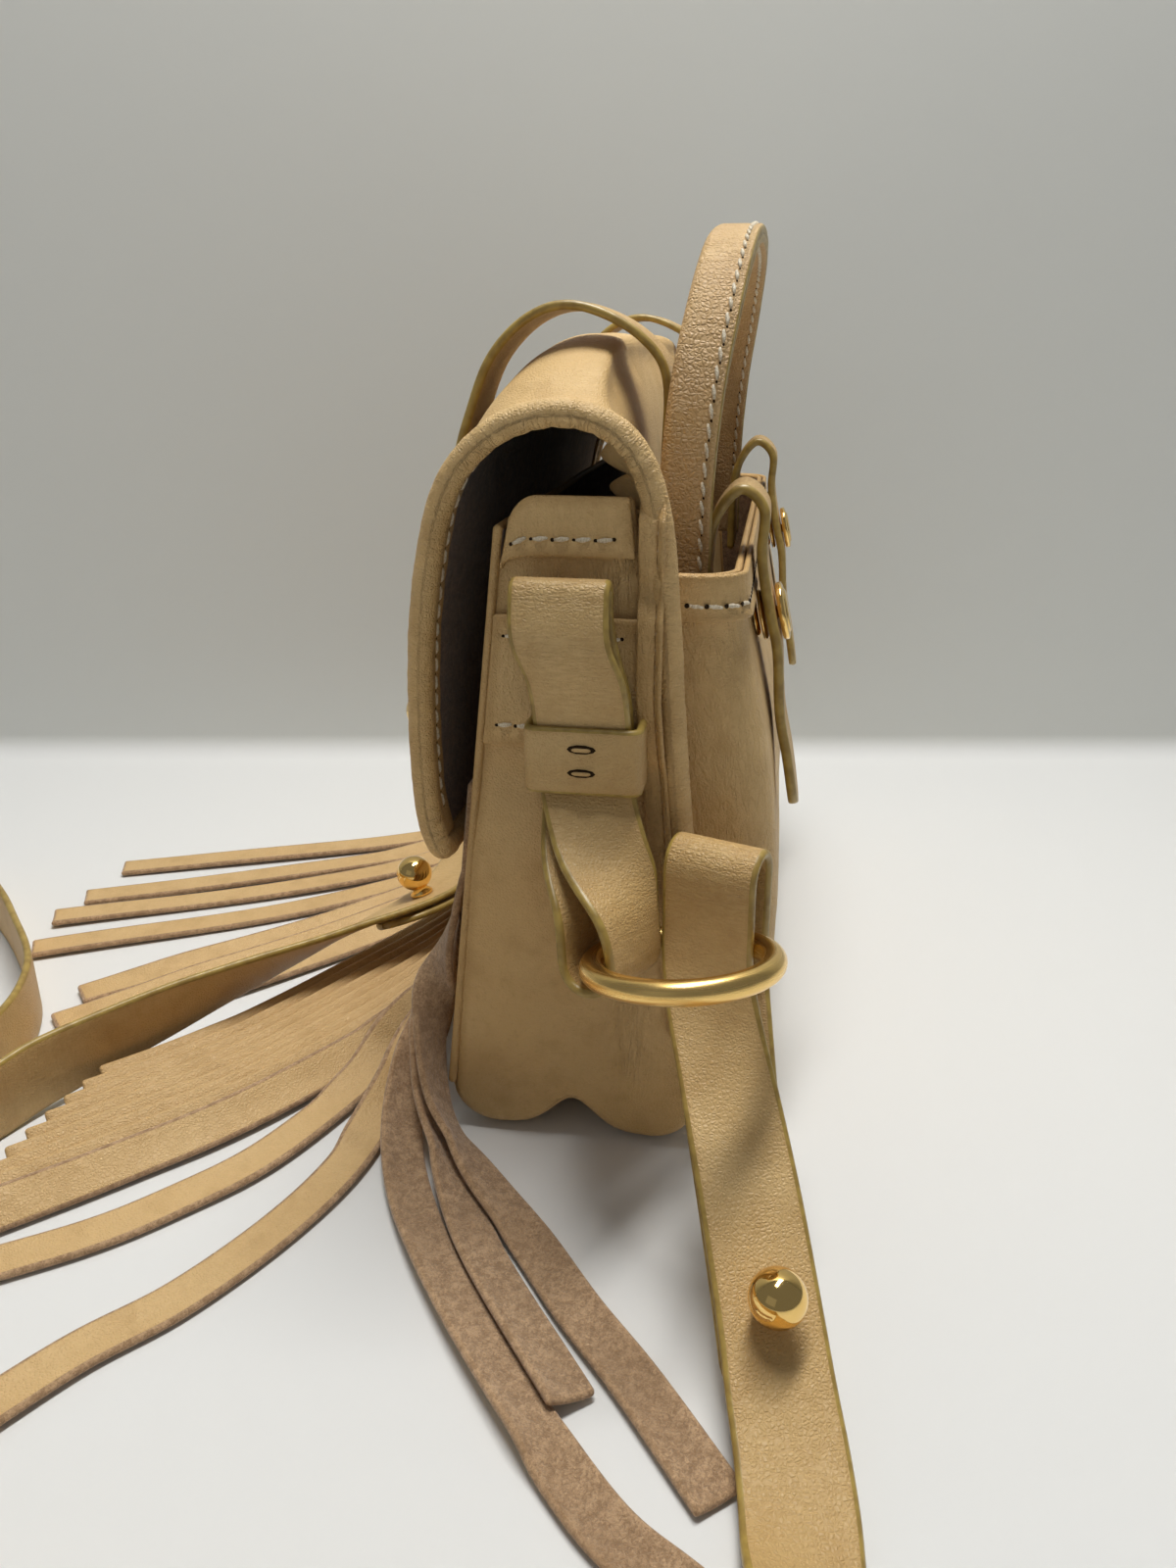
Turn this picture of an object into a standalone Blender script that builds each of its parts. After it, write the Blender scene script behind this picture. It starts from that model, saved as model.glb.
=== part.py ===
"""Fringe saddle bag in tan leather: a folded bag body with a fringe, a ringed shoulder strap and a handle.

Metres, +Z up. The origin is the middle of the base on the surface that the bag stands on. X runs along the
bag's length, -Y is the front with the flap and the fringe, and +Y is the back with the open pocket.
"""
import bpy
import bmesh
import numpy as np
from math import radians, pi
from mathutils import Vector

# Driving dimensions of the body
BODY_LENGTH = 0.212
BODY_HEIGHT = 0.157
BASE_HALF_WIDTH = 0.0330
SIDE_SLOPE = 0.115
LEATHER = 0.0020
SEAM_GAP = 0.0003
BASE_RADIUS = 0.010
BASE_INSET = 0.00345
BASE_BEND = 0.008
PINCH_HEIGHT = 0.009
PINCH_WIDTH = 0.008
PINCH_LENGTH = 0.055
PANEL_FOOT = 0.0145

# Flap, its rolled edge and the body's back
ROLL_RADIUS = 0.0030
ROLL_CORNER = 0.0022
DOME_HEIGHT = 0.0135
DOME_RUN = 0.024
DOME_START = 0.135
FLAP_SECTION = (
    (0.0338, 0.0125), (0.0322, 0.025), (0.0285, 0.055), (0.0250, 0.085), (0.0225, 0.112), (0.0207, 0.135),
    (0.0185, 0.154), (0.0140, 0.1665), (0.0065, 0.1725), (-0.0030, 0.1740), (-0.0125, 0.1715),
    (-0.0208, 0.1655), (-0.0262, 0.1570), (-0.0298, 0.1440), (-0.0322, 0.1280), (-0.0332, 0.1120),
    (-0.0333, 0.0970), (-0.0326, 0.0860), (-0.0303, 0.0768),
)

# Gusset hem, side band, ring tab and keeper
HEM_HEIGHT = 0.0105
HEM_STAND = 0.0006
HEM_THICKNESS = 0.0012
BAND_LOW = 0.1055
BAND_HEIGHT = 0.0275
STRAP_WIDTH = 0.0185
STRAP_THICKNESS = 0.0021
TAB_WIDTH = 0.0185
TAB_LAYER_GAP = 0.0004
TAB_TOP = 0.1405
TAB_SEWN_TOP = 0.1300
KEEPER_HEIGHT = 0.0130
KEEPER_MID = 0.1055
KEEPER_WALL = 0.0018
KEEPER_CLEARANCE = 0.0010
KEEPER_SIDE_ROOM = 0.0016
RING_WIRE_RADIUS = 0.0026
RING_RADIUS = 0.0184
RING_CLEARANCE = 0.0010
NEAR_TAB_SHIFT = 0.0116
NEAR_TAB_TWIST = radians(66)
FAR_TAB_SHIFT = -0.004
NEAR_BEND_OUT = 0.0221
FAR_BEND_OUT = 0.0090
BEND_HEIGHT = 0.0668
RING_TILT = radians(12)
RING_SIDE_TILT = 0.10
TAB_LEAN = 0.42
TAB_TOP_FULLNESS = 1.3

# Shoulder strap: places and width directions along its middle line, from the near ring to the far one
STRAP_ROUTE = (
    (0.1242, 0.0324, 0.0840, 0.33, 0.94, 0), (0.1246, 0.0326, 0.0740, 0.33, 0.94, 0),
    (0.1252, 0.0328, 0.0650, 0.30, 0.95, 0), (0.1300, 0.0350, 0.0550, 0.15, 0.98, 0),
    (0.1395, 0.0392, 0.0435, 0.0, 0.99, 0), (0.1540, 0.0445, 0.0300, -0.16, 0.98, 0),
    (0.1690, 0.0492, 0.0175, -0.28, 0.96, 0), (0.1805, 0.0520, 0.0105, -0.24, 0.97, 0),
    (0.1920, 0.0545, 0.0062, -0.2, 0.98, -0.02), (0.2050, 0.0560, 0.0044, -0.1, 0.98, -0.12),
    (0.2230, 0.0560, 0.0070, 0.05, 0.80, -0.60), (0.2400, 0.0500, 0.0096, 0.1, 0.35, -0.95),
    (0.2530, 0.0370, 0.0100, 0, 0, -1), (0.2600, 0.0100, 0.0100, 0, 0, -1),
    (0.2610, -0.0300, 0.0100, 0, 0, -1), (0.2560, -0.0800, 0.0100, 0, 0, -1),
    (0.2420, -0.1300, 0.0100, 0, 0, -1), (0.2180, -0.1760, 0.0100, 0, 0, -1),
    (0.1860, -0.2180, 0.0100, 0, 0, -1), (0.1420, -0.2470, 0.0100, 0, 0, -1),
    (0.0950, -0.2640, 0.0100, 0, 0, -1), (0.0450, -0.2700, 0.0100, 0, 0, -1),
    (0.0160, -0.2640, 0.0100, 0, 0, -1), (0.0060, -0.2500, 0.0100, 0, 0, -1),
    (0.0140, -0.2320, 0.0100, 0, 0, -1), (0.0370, -0.2040, 0.0100, 0, 0, -1),
    (0.0560, -0.1850, 0.0100, 0, 0, -1), (0.0710, -0.1710, 0.0100, 0, 0, -1),
    (0.0830, -0.1630, 0.0100, 0, 0, -1), (0.0970, -0.1575, 0.0100, 0, 0, -1),
    (0.1100, -0.1560, 0.0100, 0, 0, -1), (0.1240, -0.1590, 0.0100, 0, 0, -1),
    (0.1370, -0.1680, 0.0100, 0, 0, -1), (0.1460, -0.1830, 0.0100, 0, 0, -1),
    (0.1520, -0.1980, 0.0100, 0, 0, -1), (0.1630, -0.2045, 0.0100, 0, 0, -1),
    (0.1730, -0.1940, 0.0100, 0, 0, -1), (0.1730, -0.1760, 0.0100, 0, 0, -1),
    (0.1620, -0.1590, 0.0100, 0, 0, -1), (0.1460, -0.1480, 0.0100, 0, 0, -1),
    (0.1290, -0.1415, 0.0105, 0, 0, -1), (0.1180, -0.1370, 0.0115, 0, 0, -1),
    (0.1040, -0.1275, 0.0130, -0.1, -0.1, -0.98), (0.0900, -0.1160, 0.0150, -0.2, -0.22, -0.95),
    (0.0750, -0.1030, 0.0170, -0.35, -0.40, -0.85), (0.0500, -0.0820, 0.0195, -0.50, -0.62, -0.58),
    (0.0204, -0.0585, 0.0235, -0.42, -0.84, -0.30), (-0.0100, -0.0535, 0.0300, -0.15, -0.90, -0.42),
    (-0.0450, -0.0518, 0.0390, 0.0, -0.70, -0.70), (-0.0800, -0.0510, 0.0455, 0.0, -0.30, -0.95),
    (-0.1000, -0.0520, 0.0478, 0, 0, -1), (-0.1130, -0.0470, 0.0484, 0, 0, -1),
    (-0.1192, -0.0370, 0.0484, 0, 0, -1), (-0.1207, -0.0290, 0.0484, 0, 0, -1),
    (-0.1208, -0.0198, 0.0484, 0, 0, -1),
)
STRAP_END_PAST_STUD = 0.016
NEAR_STUD_RUN = 0.0870
FAR_STUD_RUN = 0.1745
NEAR_FOLD = (
    (0.1142, 0.0356, 0.0840, 0.33, 0.94, 0), (0.1142, 0.0356, 0.0740, 0.33, 0.94, 0),
    (0.1140, 0.0358, 0.0650, 0.32, 0.94, 0), (0.1180, 0.0362, 0.0560, 0.15, 0.98, 0),
)
FAR_FOLD = (
    (-0.1097, -0.0198, 0.0484, 0, 0, -1), (-0.1099, -0.0290, 0.0484, 0, 0, -1),
    (-0.1115, -0.0355, 0.0484, 0, 0, -1),
)
STUD_BALL_RADIUS = 0.0055
STUD_NECK_RADIUS = 0.0022
STUD_FLANGE_RADIUS = 0.0036
STUD_FLANGE_HEIGHT = 0.0008
STUD_NECK_HEIGHT = 0.0022
SCREW_HEAD_RADIUS = 0.0038
SCREW_HEAD_HEIGHT = 0.0009
SCREW_SHANK_RADIUS = 0.0012
STUD_HOLE_RADIUS = 0.0016
FOLD_GAP = 0.0008
FIT_GAP = 0.0003

# Back pocket
POCKET_HALF_LENGTH = 0.0985
POCKET_TOP = 0.1410
POCKET_LEATHER = 0.0016
POCKET_CORNER = 0.009
POCKET_SEAM_GAP = 0.0008
POCKET_HEM = 0.0085
HEM_LEATHER = 0.0013
POCKET_SECTION = (
    (0.0155, 0.0361), (0.0205, 0.0397), (0.0320, 0.0445), (0.0500, 0.0463), (0.0720, 0.0458),
    (0.0960, 0.0430), (0.1180, 0.0385), (0.1300, 0.0358), (0.1410, 0.0342),
)
BACK_INSET = 0.0075
INSET_RUN = 0.012

# Handle, belts and snap tabs
BELT_STATION = 0.066
HANDLE_WIDTH = 0.0120
HANDLE_THICKNESS = 0.0046
HANDLE_ROUTE = (
    (0.0800, 0.0218, 0.124), (0.0802, 0.0216, 0.140), (0.0804, 0.0218, 0.158), (0.0780, 0.0232, 0.177),
    (0.0690, 0.0256, 0.194), (0.0520, 0.0275, 0.2065), (0.0280, 0.0284, 0.2115), (0.0, 0.0286, 0.2125),
)
BELT_WIDTH = 0.0160
BELT_THICKNESS = 0.0020
BELT_ROUTE = (
    (-0.0360, 0.0900), (-0.0363, 0.1100), (-0.0358, 0.1300), (-0.0343, 0.1480), (-0.0315, 0.1625),
    (-0.0284, 0.1720), (-0.0233, 0.1836), (-0.0148, 0.1918), (-0.0051, 0.1945), (0.0063, 0.1908),
    (0.0143, 0.1842), (0.0166, 0.1770), (0.0164, 0.1640), (0.0162, 0.1500), (0.0168, 0.1360),
    (0.0180, 0.1240),
)
BELT_STUD_RUN = 0.0080
SNAP_HEIGHT = 0.1255
SNAP_CAP_RADIUS = 0.0068
SNAP_CAP_HEIGHT = 0.0024
SNAP_SOCKET_RADIUS = 0.0060
SNAP_SOCKET_HEIGHT = 0.0013
SNAP_STUD_HEIGHT = 0.0011
SNAP_SHANK_RADIUS = 0.0014
SNAP_HOLE_RADIUS = 0.0018
BACK_TAB_WIDTH = 0.0150
BACK_TAB_THICKNESS = 0.0024

# Fringe: one panel cut into strips, each with the way it takes over the floor
STRIP_COUNT = 21
STRIP_PITCH = 0.0097
STRIP_SLIT = 0.0008
FRINGE_THICKNESS = 0.0018
FRINGE_ROOT_HEIGHT = 0.092
FRINGE_SPLIT_HEIGHT = 0.070
FRINGE_DROP = 0.0138
STRIP_LEAD = 0.018
STRIP_LAP = 0.0025
GROUP_MIDDLE = ((0.061, -0.086), (0.110, -0.0795))
GROUP_LATE = ((0.086, -0.1025), (0.136, -0.102))
GROUP_END = ((0.110, -0.1235), (0.164, -0.130))
GROUP_COUNT = 9
FAR_STRIPS = (
    ((-0.054, -0.110), (-0.018, -0.194)), ((-0.036, -0.110), (0.007, -0.194)),
    ((-0.020, -0.112), (0.023, -0.196)), ((-0.002, -0.110), (0.044, -0.190)),
    ((0.012, -0.098), (0.067, -0.158)), ((0.022, -0.097), (0.082, -0.157)),
    ((0.032, -0.095), (0.096, -0.154)),
)
NEAR_STRIPS = (
    ((0.072, -0.053), (0.098, -0.0605), (0.127, -0.0725), (0.145, -0.0865), (0.158, -0.0995), (0.172, -0.119)),
    ((0.081, -0.046), (0.102, -0.049), (0.128, -0.052), (0.150, -0.0595), (0.172, -0.0715), (0.187, -0.084),
     (0.2055, -0.0955)),
    ((0.087, -0.041), (0.103, -0.044), (0.131, -0.035), (0.163, -0.014), (0.202, 0.020), (0.214, 0.038)),
    ((0.094, -0.038), (0.108, -0.0365), (0.127, -0.0255), (0.151, -0.0110), (0.1825, 0.0135)),
    ((0.101, -0.036), (0.1145, -0.0315), (0.1275, -0.0180), (0.143, -0.0030), (0.161, 0.0115), (0.176, 0.0250),
     (0.197, 0.0420)),
)

LEATHER_COLOR = (0.53, 0.37, 0.19, 1)
EDGE_COLOR = (0.42, 0.30, 0.12, 1)
SUEDE_COLOR = (0.35, 0.23, 0.15, 1)
GOLD_COLOR = (0.80, 0.58, 0.22, 1)


def clear_scene():
    """Empties the scene, so that the script can be run twice."""
    for obj in list(bpy.data.objects):
        bpy.data.objects.remove(obj)


def make_material(name, color, roughness, metallic=0.0):
    """A plain Principled material."""
    material = bpy.data.materials.new(name)
    material.use_nodes = True
    shader = material.node_tree.nodes["Principled BSDF"]
    shader.inputs["Base Color"].default_value = color
    shader.inputs["Roughness"].default_value = roughness
    shader.inputs["Metallic"].default_value = metallic
    return material


def link(obj, material):
    """Puts an object into the bag's collection with its material."""
    obj.data.materials.append(material)
    BAG.objects.link(obj)
    return obj


def smooth_line(points, count):
    """Catmull-Rom curve through the points, sampled evenly by its running length."""
    pts = np.array(points, float)
    ends = np.vstack([2 * pts[0] - pts[1], pts, 2 * pts[-1] - pts[-2]])
    t = np.linspace(0, 1, 12, endpoint=False)[:, None]
    runs = []
    for a, b, c, d in zip(ends[:-3], ends[1:-2], ends[2:-1], ends[3:]):
        runs.append(0.5 * (2 * b + (c - a) * t + (2 * a - 5 * b + 4 * c - d) * t ** 2
                           + (3 * b - a - 3 * c + d) * t ** 3))
    dense = np.vstack(runs + [pts[-1:]])
    return resample(dense, count)


def resample(dense, count):
    """The same line with evenly spaced points."""
    step = np.linalg.norm(np.diff(dense[:, :3], axis=0), axis=1)
    run = np.concatenate([[0], np.cumsum(step)])
    want = np.linspace(0, run[-1], count)
    return np.stack([np.interp(want, run, dense[:, k]) for k in range(dense.shape[1])], axis=1)


def shortened(line, length, count):
    """The same line without its last stretch of the given length."""
    dense = resample(line, 600)
    run = np.concatenate([[0], np.cumsum(np.linalg.norm(np.diff(dense, axis=0), axis=1))])
    return resample(dense[run <= run[-1] - length], count)


def unit(v):
    """Rows scaled to length one."""
    return v / np.linalg.norm(v, axis=-1, keepdims=True)


def smoothstep(x):
    """Runs from 0 to 1 with flat ends."""
    x = np.clip(x, 0, 1)
    return x * x * (3 - 2 * x)


def sheet(name, grid, thickness, material, offset=0.0):
    """A leather sheet: an open surface through a grid of points, thickened with Solidify."""
    rows, cols = grid.shape[:2]
    index = np.arange(rows * cols).reshape(rows, cols)
    quads = np.stack([index[:-1, :-1], index[1:, :-1], index[1:, 1:], index[:-1, 1:]], axis=-1).reshape(-1, 4)
    mesh = bpy.data.meshes.new(name)
    mesh.from_pydata(grid.reshape(-1, 3).tolist(), [], quads.tolist())
    obj = link(bpy.data.objects.new(name, mesh), material)
    wall = obj.modifiers.new("thickness", "SOLIDIFY")
    wall.thickness = thickness
    wall.offset = offset
    wall.use_even_offset = True
    return obj


def ribbon_grid(centres, widths, width, across=2):
    """Points of a strap: the centre line moved sideways along each row's width direction."""
    side = np.linspace(-width / 2, width / 2, across)
    return centres[:, None, :] + unit(widths)[:, None, :] * side[None, :, None]


def tube(name, points, radius, material, cyclic=False, resolution=2):
    """A round cord or wire as a curve object with a bevel."""
    curve = bpy.data.curves.new(name, "CURVE")
    curve.dimensions = "3D"
    curve.bevel_depth = radius
    curve.bevel_resolution = resolution
    curve.use_fill_caps = not cyclic
    spline = curve.splines.new("POLY")
    spline.points.add(len(points) - 1)
    for point, co in zip(spline.points, points):
        point.co = (*co, 1)
    spline.use_cyclic_u = cyclic
    return link(bpy.data.objects.new(name, curve), material)


def turned(name, profile, place, direction, material, steps=20):
    """A turned piece: a profile of (radius, height) pairs, top to bottom, spun about its axis."""
    mesh = bpy.data.meshes.new(name)
    verts = [(r, 0, h) for r, h in profile]
    mesh.from_pydata(verts, [(i, i + 1) for i in range(len(verts) - 1)], [])
    obj = link(bpy.data.objects.new(name, mesh), material)
    spin = obj.modifiers.new("turn", "SCREW")
    spin.axis = "Z"
    spin.steps = steps
    spin.render_steps = steps
    spin.use_merge_vertices = True
    spin.merge_threshold = 1e-5
    obj.location = place
    obj.rotation_mode = "QUATERNION"
    obj.rotation_quaternion = Vector(direction).to_track_quat("Z", "Y")
    return obj


def cut_round_hole(obj, place, direction, radius, depth):
    """Cuts a round hole through an object along a direction."""
    mesh = bpy.data.meshes.new(obj.name + "_hole")
    form = bmesh.new()
    bmesh.ops.create_cone(form, cap_ends=True, segments=12, radius1=radius, radius2=radius, depth=depth)
    form.to_mesh(mesh)
    form.free()
    cutter = bpy.data.objects.new(obj.name + "_hole", mesh)
    cutter.location = place
    cutter.rotation_mode = "QUATERNION"
    cutter.rotation_quaternion = Vector(direction).to_track_quat("Z", "Y")
    cutter.hide_render = True
    cutter.display_type = "WIRE"
    CUTTERS.objects.link(cutter)
    cut = obj.modifiers.new("hole", "BOOLEAN")
    cut.operation = "DIFFERENCE"
    cut.object = cutter


def half_width(z):
    """Half of the body's width at a height, outside the front panel."""
    return BASE_HALF_WIDTH - SIDE_SLOPE * z


def dome(x):
    """How much higher the flap's top stands than at its ends."""
    inward = BODY_LENGTH / 2 - np.abs(x)
    return DOME_HEIGHT * (1 - np.exp(-(np.maximum(inward, 0) / DOME_RUN) ** 2))


def flap_surface(line, x):
    """The flap's section line set at each place along the length, with the dome lifted into its top."""
    y, z = line[:, 0][:, None], line[:, 1][:, None]
    lift = smoothstep((z - DOME_START) / (0.174 - DOME_START)) * dome(x)[None, :]
    inset = back_inset(x[None, :], y, z)
    return np.stack([np.broadcast_to(x[None, :], lift.shape), y - inset, z + lift], axis=-1)


def back_inset(x, y, z):
    """How far the back sheet lies further in between the bag's ends, high up and on its back side only."""
    inward = np.maximum(BODY_LENGTH / 2 - np.abs(x), 0)
    away = 1 - np.exp(-(inward / INSET_RUN) ** 2)
    return BACK_INSET * away * smoothstep((z - 0.050) / 0.060) * smoothstep((y - 0.002) / 0.012)


def make_body():
    """Back and flap in one sheet, its rolled edge, the front panel and the gusset."""
    half = BODY_LENGTH / 2
    line = smooth_line(FLAP_SECTION, 46)
    reach = half - ROLL_RADIUS - SEAM_GAP
    x = np.array([0.0, 0.045, 0.066, 0.078, 0.090, POCKET_HALF_LENGTH, reach])
    x = np.concatenate([-x[:0:-1], x])
    sheet("back_flap_panel", flap_surface(shortened(line, ROLL_RADIUS + SEAM_GAP, 44), x), LEATHER, LEATHER_MAT)

    edge = shortened(line, ROLL_CORNER, 46)
    near = np.column_stack([np.full(len(edge), half), edge])
    foot = line[-1]
    bend = (line[-1] + edge[-1]) / 2 + (line[-1] - edge[-1]) * 0.2
    turn = [(half - ROLL_CORNER * 0.3, *bend), (half - ROLL_CORNER, *foot)]
    route = list(near) + turn + [(-x, y, z) for x, y, z in turn[::-1]] + list(near[::-1] * (-1, 1, 1))
    tube("flap_edge_roll", route, ROLL_RADIUS, LEATHER_MAT)

    z = np.linspace(BODY_HEIGHT - 0.006, PANEL_FOOT, 9)
    y = -(half_width(z) - LEATHER / 2)
    x = np.linspace(-half, half, 5)
    grid = np.stack([np.broadcast_to(x[None, :], (9, 5)), np.broadcast_to(y[:, None], (9, 5)),
                     np.broadcast_to(z[:, None], (9, 5))], axis=-1)
    sheet("front_panel", grid, LEATHER, LEATHER_MAT)
    make_gusset(half)


def base_rise(y, x):
    """Height of the base: round along its long edges, pinched up in the middle near its ends."""
    over = np.maximum(np.abs(y) - (BASE_HALF_WIDTH - BASE_INSET - BASE_RADIUS), 0)
    edge = BASE_RADIUS - np.sqrt(np.maximum(BASE_RADIUS ** 2 - over ** 2, 0))
    near_end = smoothstep((np.abs(x) - (BODY_LENGTH / 2 - PINCH_LENGTH)) / PINCH_LENGTH)
    return edge + near_end * PINCH_HEIGHT * np.exp(-(y / PINCH_WIDTH) ** 2)


def make_gusset(half):
    """One strip that runs down one end, along the base and up the other end."""
    heights = np.array([BODY_HEIGHT, 0.146, 0.134, 0.120, 0.105, 0.085, 0.065, 0.045, 0.030, 0.020, 0.0130,
                        0.0075, 0.0040])
    wide = BASE_HALF_WIDTH - BASE_INSET
    share = np.array([-1, -0.9, -0.78, -0.64, -0.42, -0.27, -0.13, 0, 0.13, 0.27, 0.42, 0.64, 0.78, 0.9, 1])
    rows = []
    for h in heights:
        fade = max(0, 1 - h / 0.035)
        edge_height = h + fade * base_rise(wide, half)
        y = share * min(wide, half_width(edge_height) - LEATHER - SEAM_GAP)
        rows.append(np.column_stack([np.full(len(y), half), y, h + fade * base_rise(y, half)]))
    for angle in np.radians([30, 60]):
        x = half - BASE_BEND * (1 - np.cos(angle))
        y = share * wide
        drop = 0.0040 * (1 - np.sin(angle))
        rows.append(np.column_stack([np.full(len(y), x), y, drop + base_rise(y, x)]))
    for x in (half - BASE_BEND * 1.2, 0.080, 0.066, 0.050, 0.025):
        y = share * wide
        rows.append(np.column_stack([np.full(len(y), x), y, base_rise(y, x)]))
    near = np.stack(rows)
    far = near[::-1] * (-1, 1, 1)
    grid = np.concatenate([near, far])
    grid[..., 0] -= np.sign(grid[..., 0]) * LEATHER / 2
    grid[..., 2] += LEATHER / 2 * (grid[..., 2] < 0.02)
    sheet("gusset", grid, LEATHER, LEATHER_MAT)


def make_side_trim(side, label):
    """The sewn hem and the stitched band across one end of the gusset."""
    face = BODY_LENGTH / 2 + SEAM_GAP
    trims = (("gusset_hem_", BODY_HEIGHT - HEM_HEIGHT, BODY_HEIGHT + HEM_STAND, HEM_THICKNESS),
             ("side_band_", BAND_LOW, BAND_LOW + BAND_HEIGHT, LEATHER))
    for name, low, high, thick in trims:
        z = np.linspace(high, low, 5)
        half = half_width(z) - LEATHER - SEAM_GAP
        share = np.linspace(-1, 1, 5)
        y = half[:, None] * share[None, :]
        x = np.full_like(y, side * (face + thick / 2))
        grid = np.stack([x, y, np.broadcast_to(z[:, None], y.shape)], axis=-1)
        sheet(name + label, grid, thick, LEATHER_MAT)


def ring_bulge():
    """How far a ring's wire bows within the width of a tab."""
    return RING_RADIUS - np.sqrt(RING_RADIUS ** 2 - (TAB_WIDTH / 2) ** 2)


def ring_places():
    """For each end: the wire's place in its tab, the ring's centre and axis, and the tab's outward direction."""
    axis = unit(np.array([-np.sin(RING_TILT), -RING_SIDE_TILT, np.cos(RING_TILT)]))
    out = np.array([np.cos(NEAR_TAB_TWIST), np.sin(NEAR_TAB_TWIST), 0])
    out = unit(out - axis * axis.dot(out))
    near = np.array([BODY_LENGTH / 2 + NEAR_BEND_OUT, NEAR_TAB_SHIFT, BEND_HEIGHT])
    far = np.array([-BODY_LENGTH / 2 - FAR_BEND_OUT, FAR_TAB_SHIFT, BEND_HEIGHT])
    down = np.array([0, 0, -1.0])
    return {"right": (near, near + out * RING_RADIUS, axis, out, axis, out),
            "left": (far, far + down * RING_RADIUS, np.array([1.0, 0, 0]), np.array([-1.0, 0, 0]), -down, down)}


def tab_route(side, place):
    """Centre line and width direction of a ring tab: down behind, round the ring, up in front and over."""
    wire, _, _, out, up, bow = place
    skin = BODY_LENGTH / 2 + SEAM_GAP * 2 + LEATHER + STRAP_THICKNESS / 2
    layer = STRAP_THICKNESS + TAB_LAYER_GAP
    inner = RING_WIRE_RADIUS + ring_bulge() / 2 + RING_CLEARANCE + STRAP_THICKNESS / 2
    middle = wire + bow * ring_bulge() / 2
    lean = wire[1] * TAB_LEAN
    keeper_low = KEEPER_MID - KEEPER_HEIGHT / 2 - 0.0005
    cross = np.array([0, 1.0, 0])
    turned_cross = np.cross(up, out) * side

    def station(depth, y, z, twist):
        return (*(side * (skin + depth), y, z), *(cross * (1 - twist) + turned_cross * twist))

    bend = [(*(middle - out * np.cos(t) * inner - up * np.sin(t) * inner), *turned_cross)
            for t in np.radians(np.linspace(0, 180, 9))]
    behind, ahead = np.array(bend[0][:3]), np.array(bend[-1][:3])
    reach, far_reach = abs(behind[0]) - skin, abs(ahead[0]) - skin
    back = [station(0, 0, TAB_SEWN_TOP, 0), station(0, lean * 0.75, 0.118, 0), station(0, lean, KEEPER_MID, 0),
            station(0, lean * 1.1, keeper_low, 0),
            station(reach * 0.3, lean + (behind[1] - lean) * 0.35, 0.087, 0.22),
            station(reach * 0.85, lean + (behind[1] - lean) * 0.85, 0.076, 0.85)]
    front = [station(2 * layer + (far_reach - 2 * layer) * 0.92, lean + (ahead[1] - lean) * 0.85, 0.078, 0.88),
             station(2 * layer + (far_reach - 2 * layer) * 0.4, lean + (ahead[1] - lean) * 0.35, 0.088, 0.22),
             station(2 * layer, lean * 1.1, keeper_low, 0), station(2 * layer, lean, KEEPER_MID, 0),
             station(2 * layer, lean * 0.8, 0.120, 0),
             station(2 * layer, lean * 0.1, 0.132, 0)]
    over = layer / 2 * TAB_TOP_FULLNESS
    top = [station(layer * 1.5 + np.cos(t) * over, 0, TAB_TOP + np.sin(t) * over, 0)
           for t in np.radians(np.linspace(0, 180, 7))]
    inside = [station(layer, lean * 0.1, 0.132, 0), station(layer, lean * 0.75, 0.118, 0),
              station(layer, lean * 0.9, 0.106, 0)]
    dense = smooth_line(back + bend + front + top + inside, 66)
    return dense[:, :3], dense[:, 3:]


def make_ring_hardware():
    """Tabs, keepers and rings at both ends."""
    places = ring_places()
    for side, label in ((1, "right"), (-1, "left")):
        make_side_trim(side, label)
        centres, widths = tab_route(side, places[label])
        sheet("ring_tab_" + label, ribbon_grid(centres, widths, TAB_WIDTH), STRAP_THICKNESS, LEATHER_MAT)
        make_keeper(side, label, places[label][0][1] * TAB_LEAN)
        make_ring("ring_" + label, places[label][1], places[label][2])


def make_keeper(side, label, shift):
    """A closed leather loop round the layers of the tab."""
    skin = BODY_LENGTH / 2 + SEAM_GAP + LEATHER + SEAM_GAP
    depth = 3 * STRAP_THICKNESS + 2 * TAB_LAYER_GAP
    wide = TAB_WIDTH / 2 + KEEPER_SIDE_ROOM + KEEPER_WALL / 2
    front = skin + depth + KEEPER_CLEARANCE + KEEPER_WALL / 2
    edge = 0.0016
    back = skin + 0.0004
    outline = [(back, -wide), (front - edge, -wide), (front - edge * 0.3, -wide + edge * 0.3),
               (front, -wide + edge), (front, wide - edge), (front - edge * 0.3, wide - edge * 0.3),
               (front - edge, wide), (back, wide)]
    z = np.linspace(KEEPER_MID - KEEPER_HEIGHT / 2, KEEPER_MID + KEEPER_HEIGHT / 2, 2)
    grid = np.array([[(side * px, py + shift, pz) for pz in z] for px, py in outline])
    sheet("tab_keeper_" + label, grid, KEEPER_WALL, LEATHER_MAT)


def make_ring(name, centre, axis):
    """A round wire ring, as a torus turned to its axis."""
    bpy.ops.mesh.primitive_torus_add(major_segments=40, minor_segments=10, major_radius=RING_RADIUS,
                                     minor_radius=RING_WIRE_RADIUS, location=centre)
    ring = bpy.context.object
    ring.name = name
    ring.rotation_mode = "QUATERNION"
    ring.rotation_quaternion = Vector(axis).to_track_quat("Z", "Y")
    for owner in list(ring.users_collection):
        owner.objects.unlink(ring)
    link(ring, GOLD_MAT)


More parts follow.
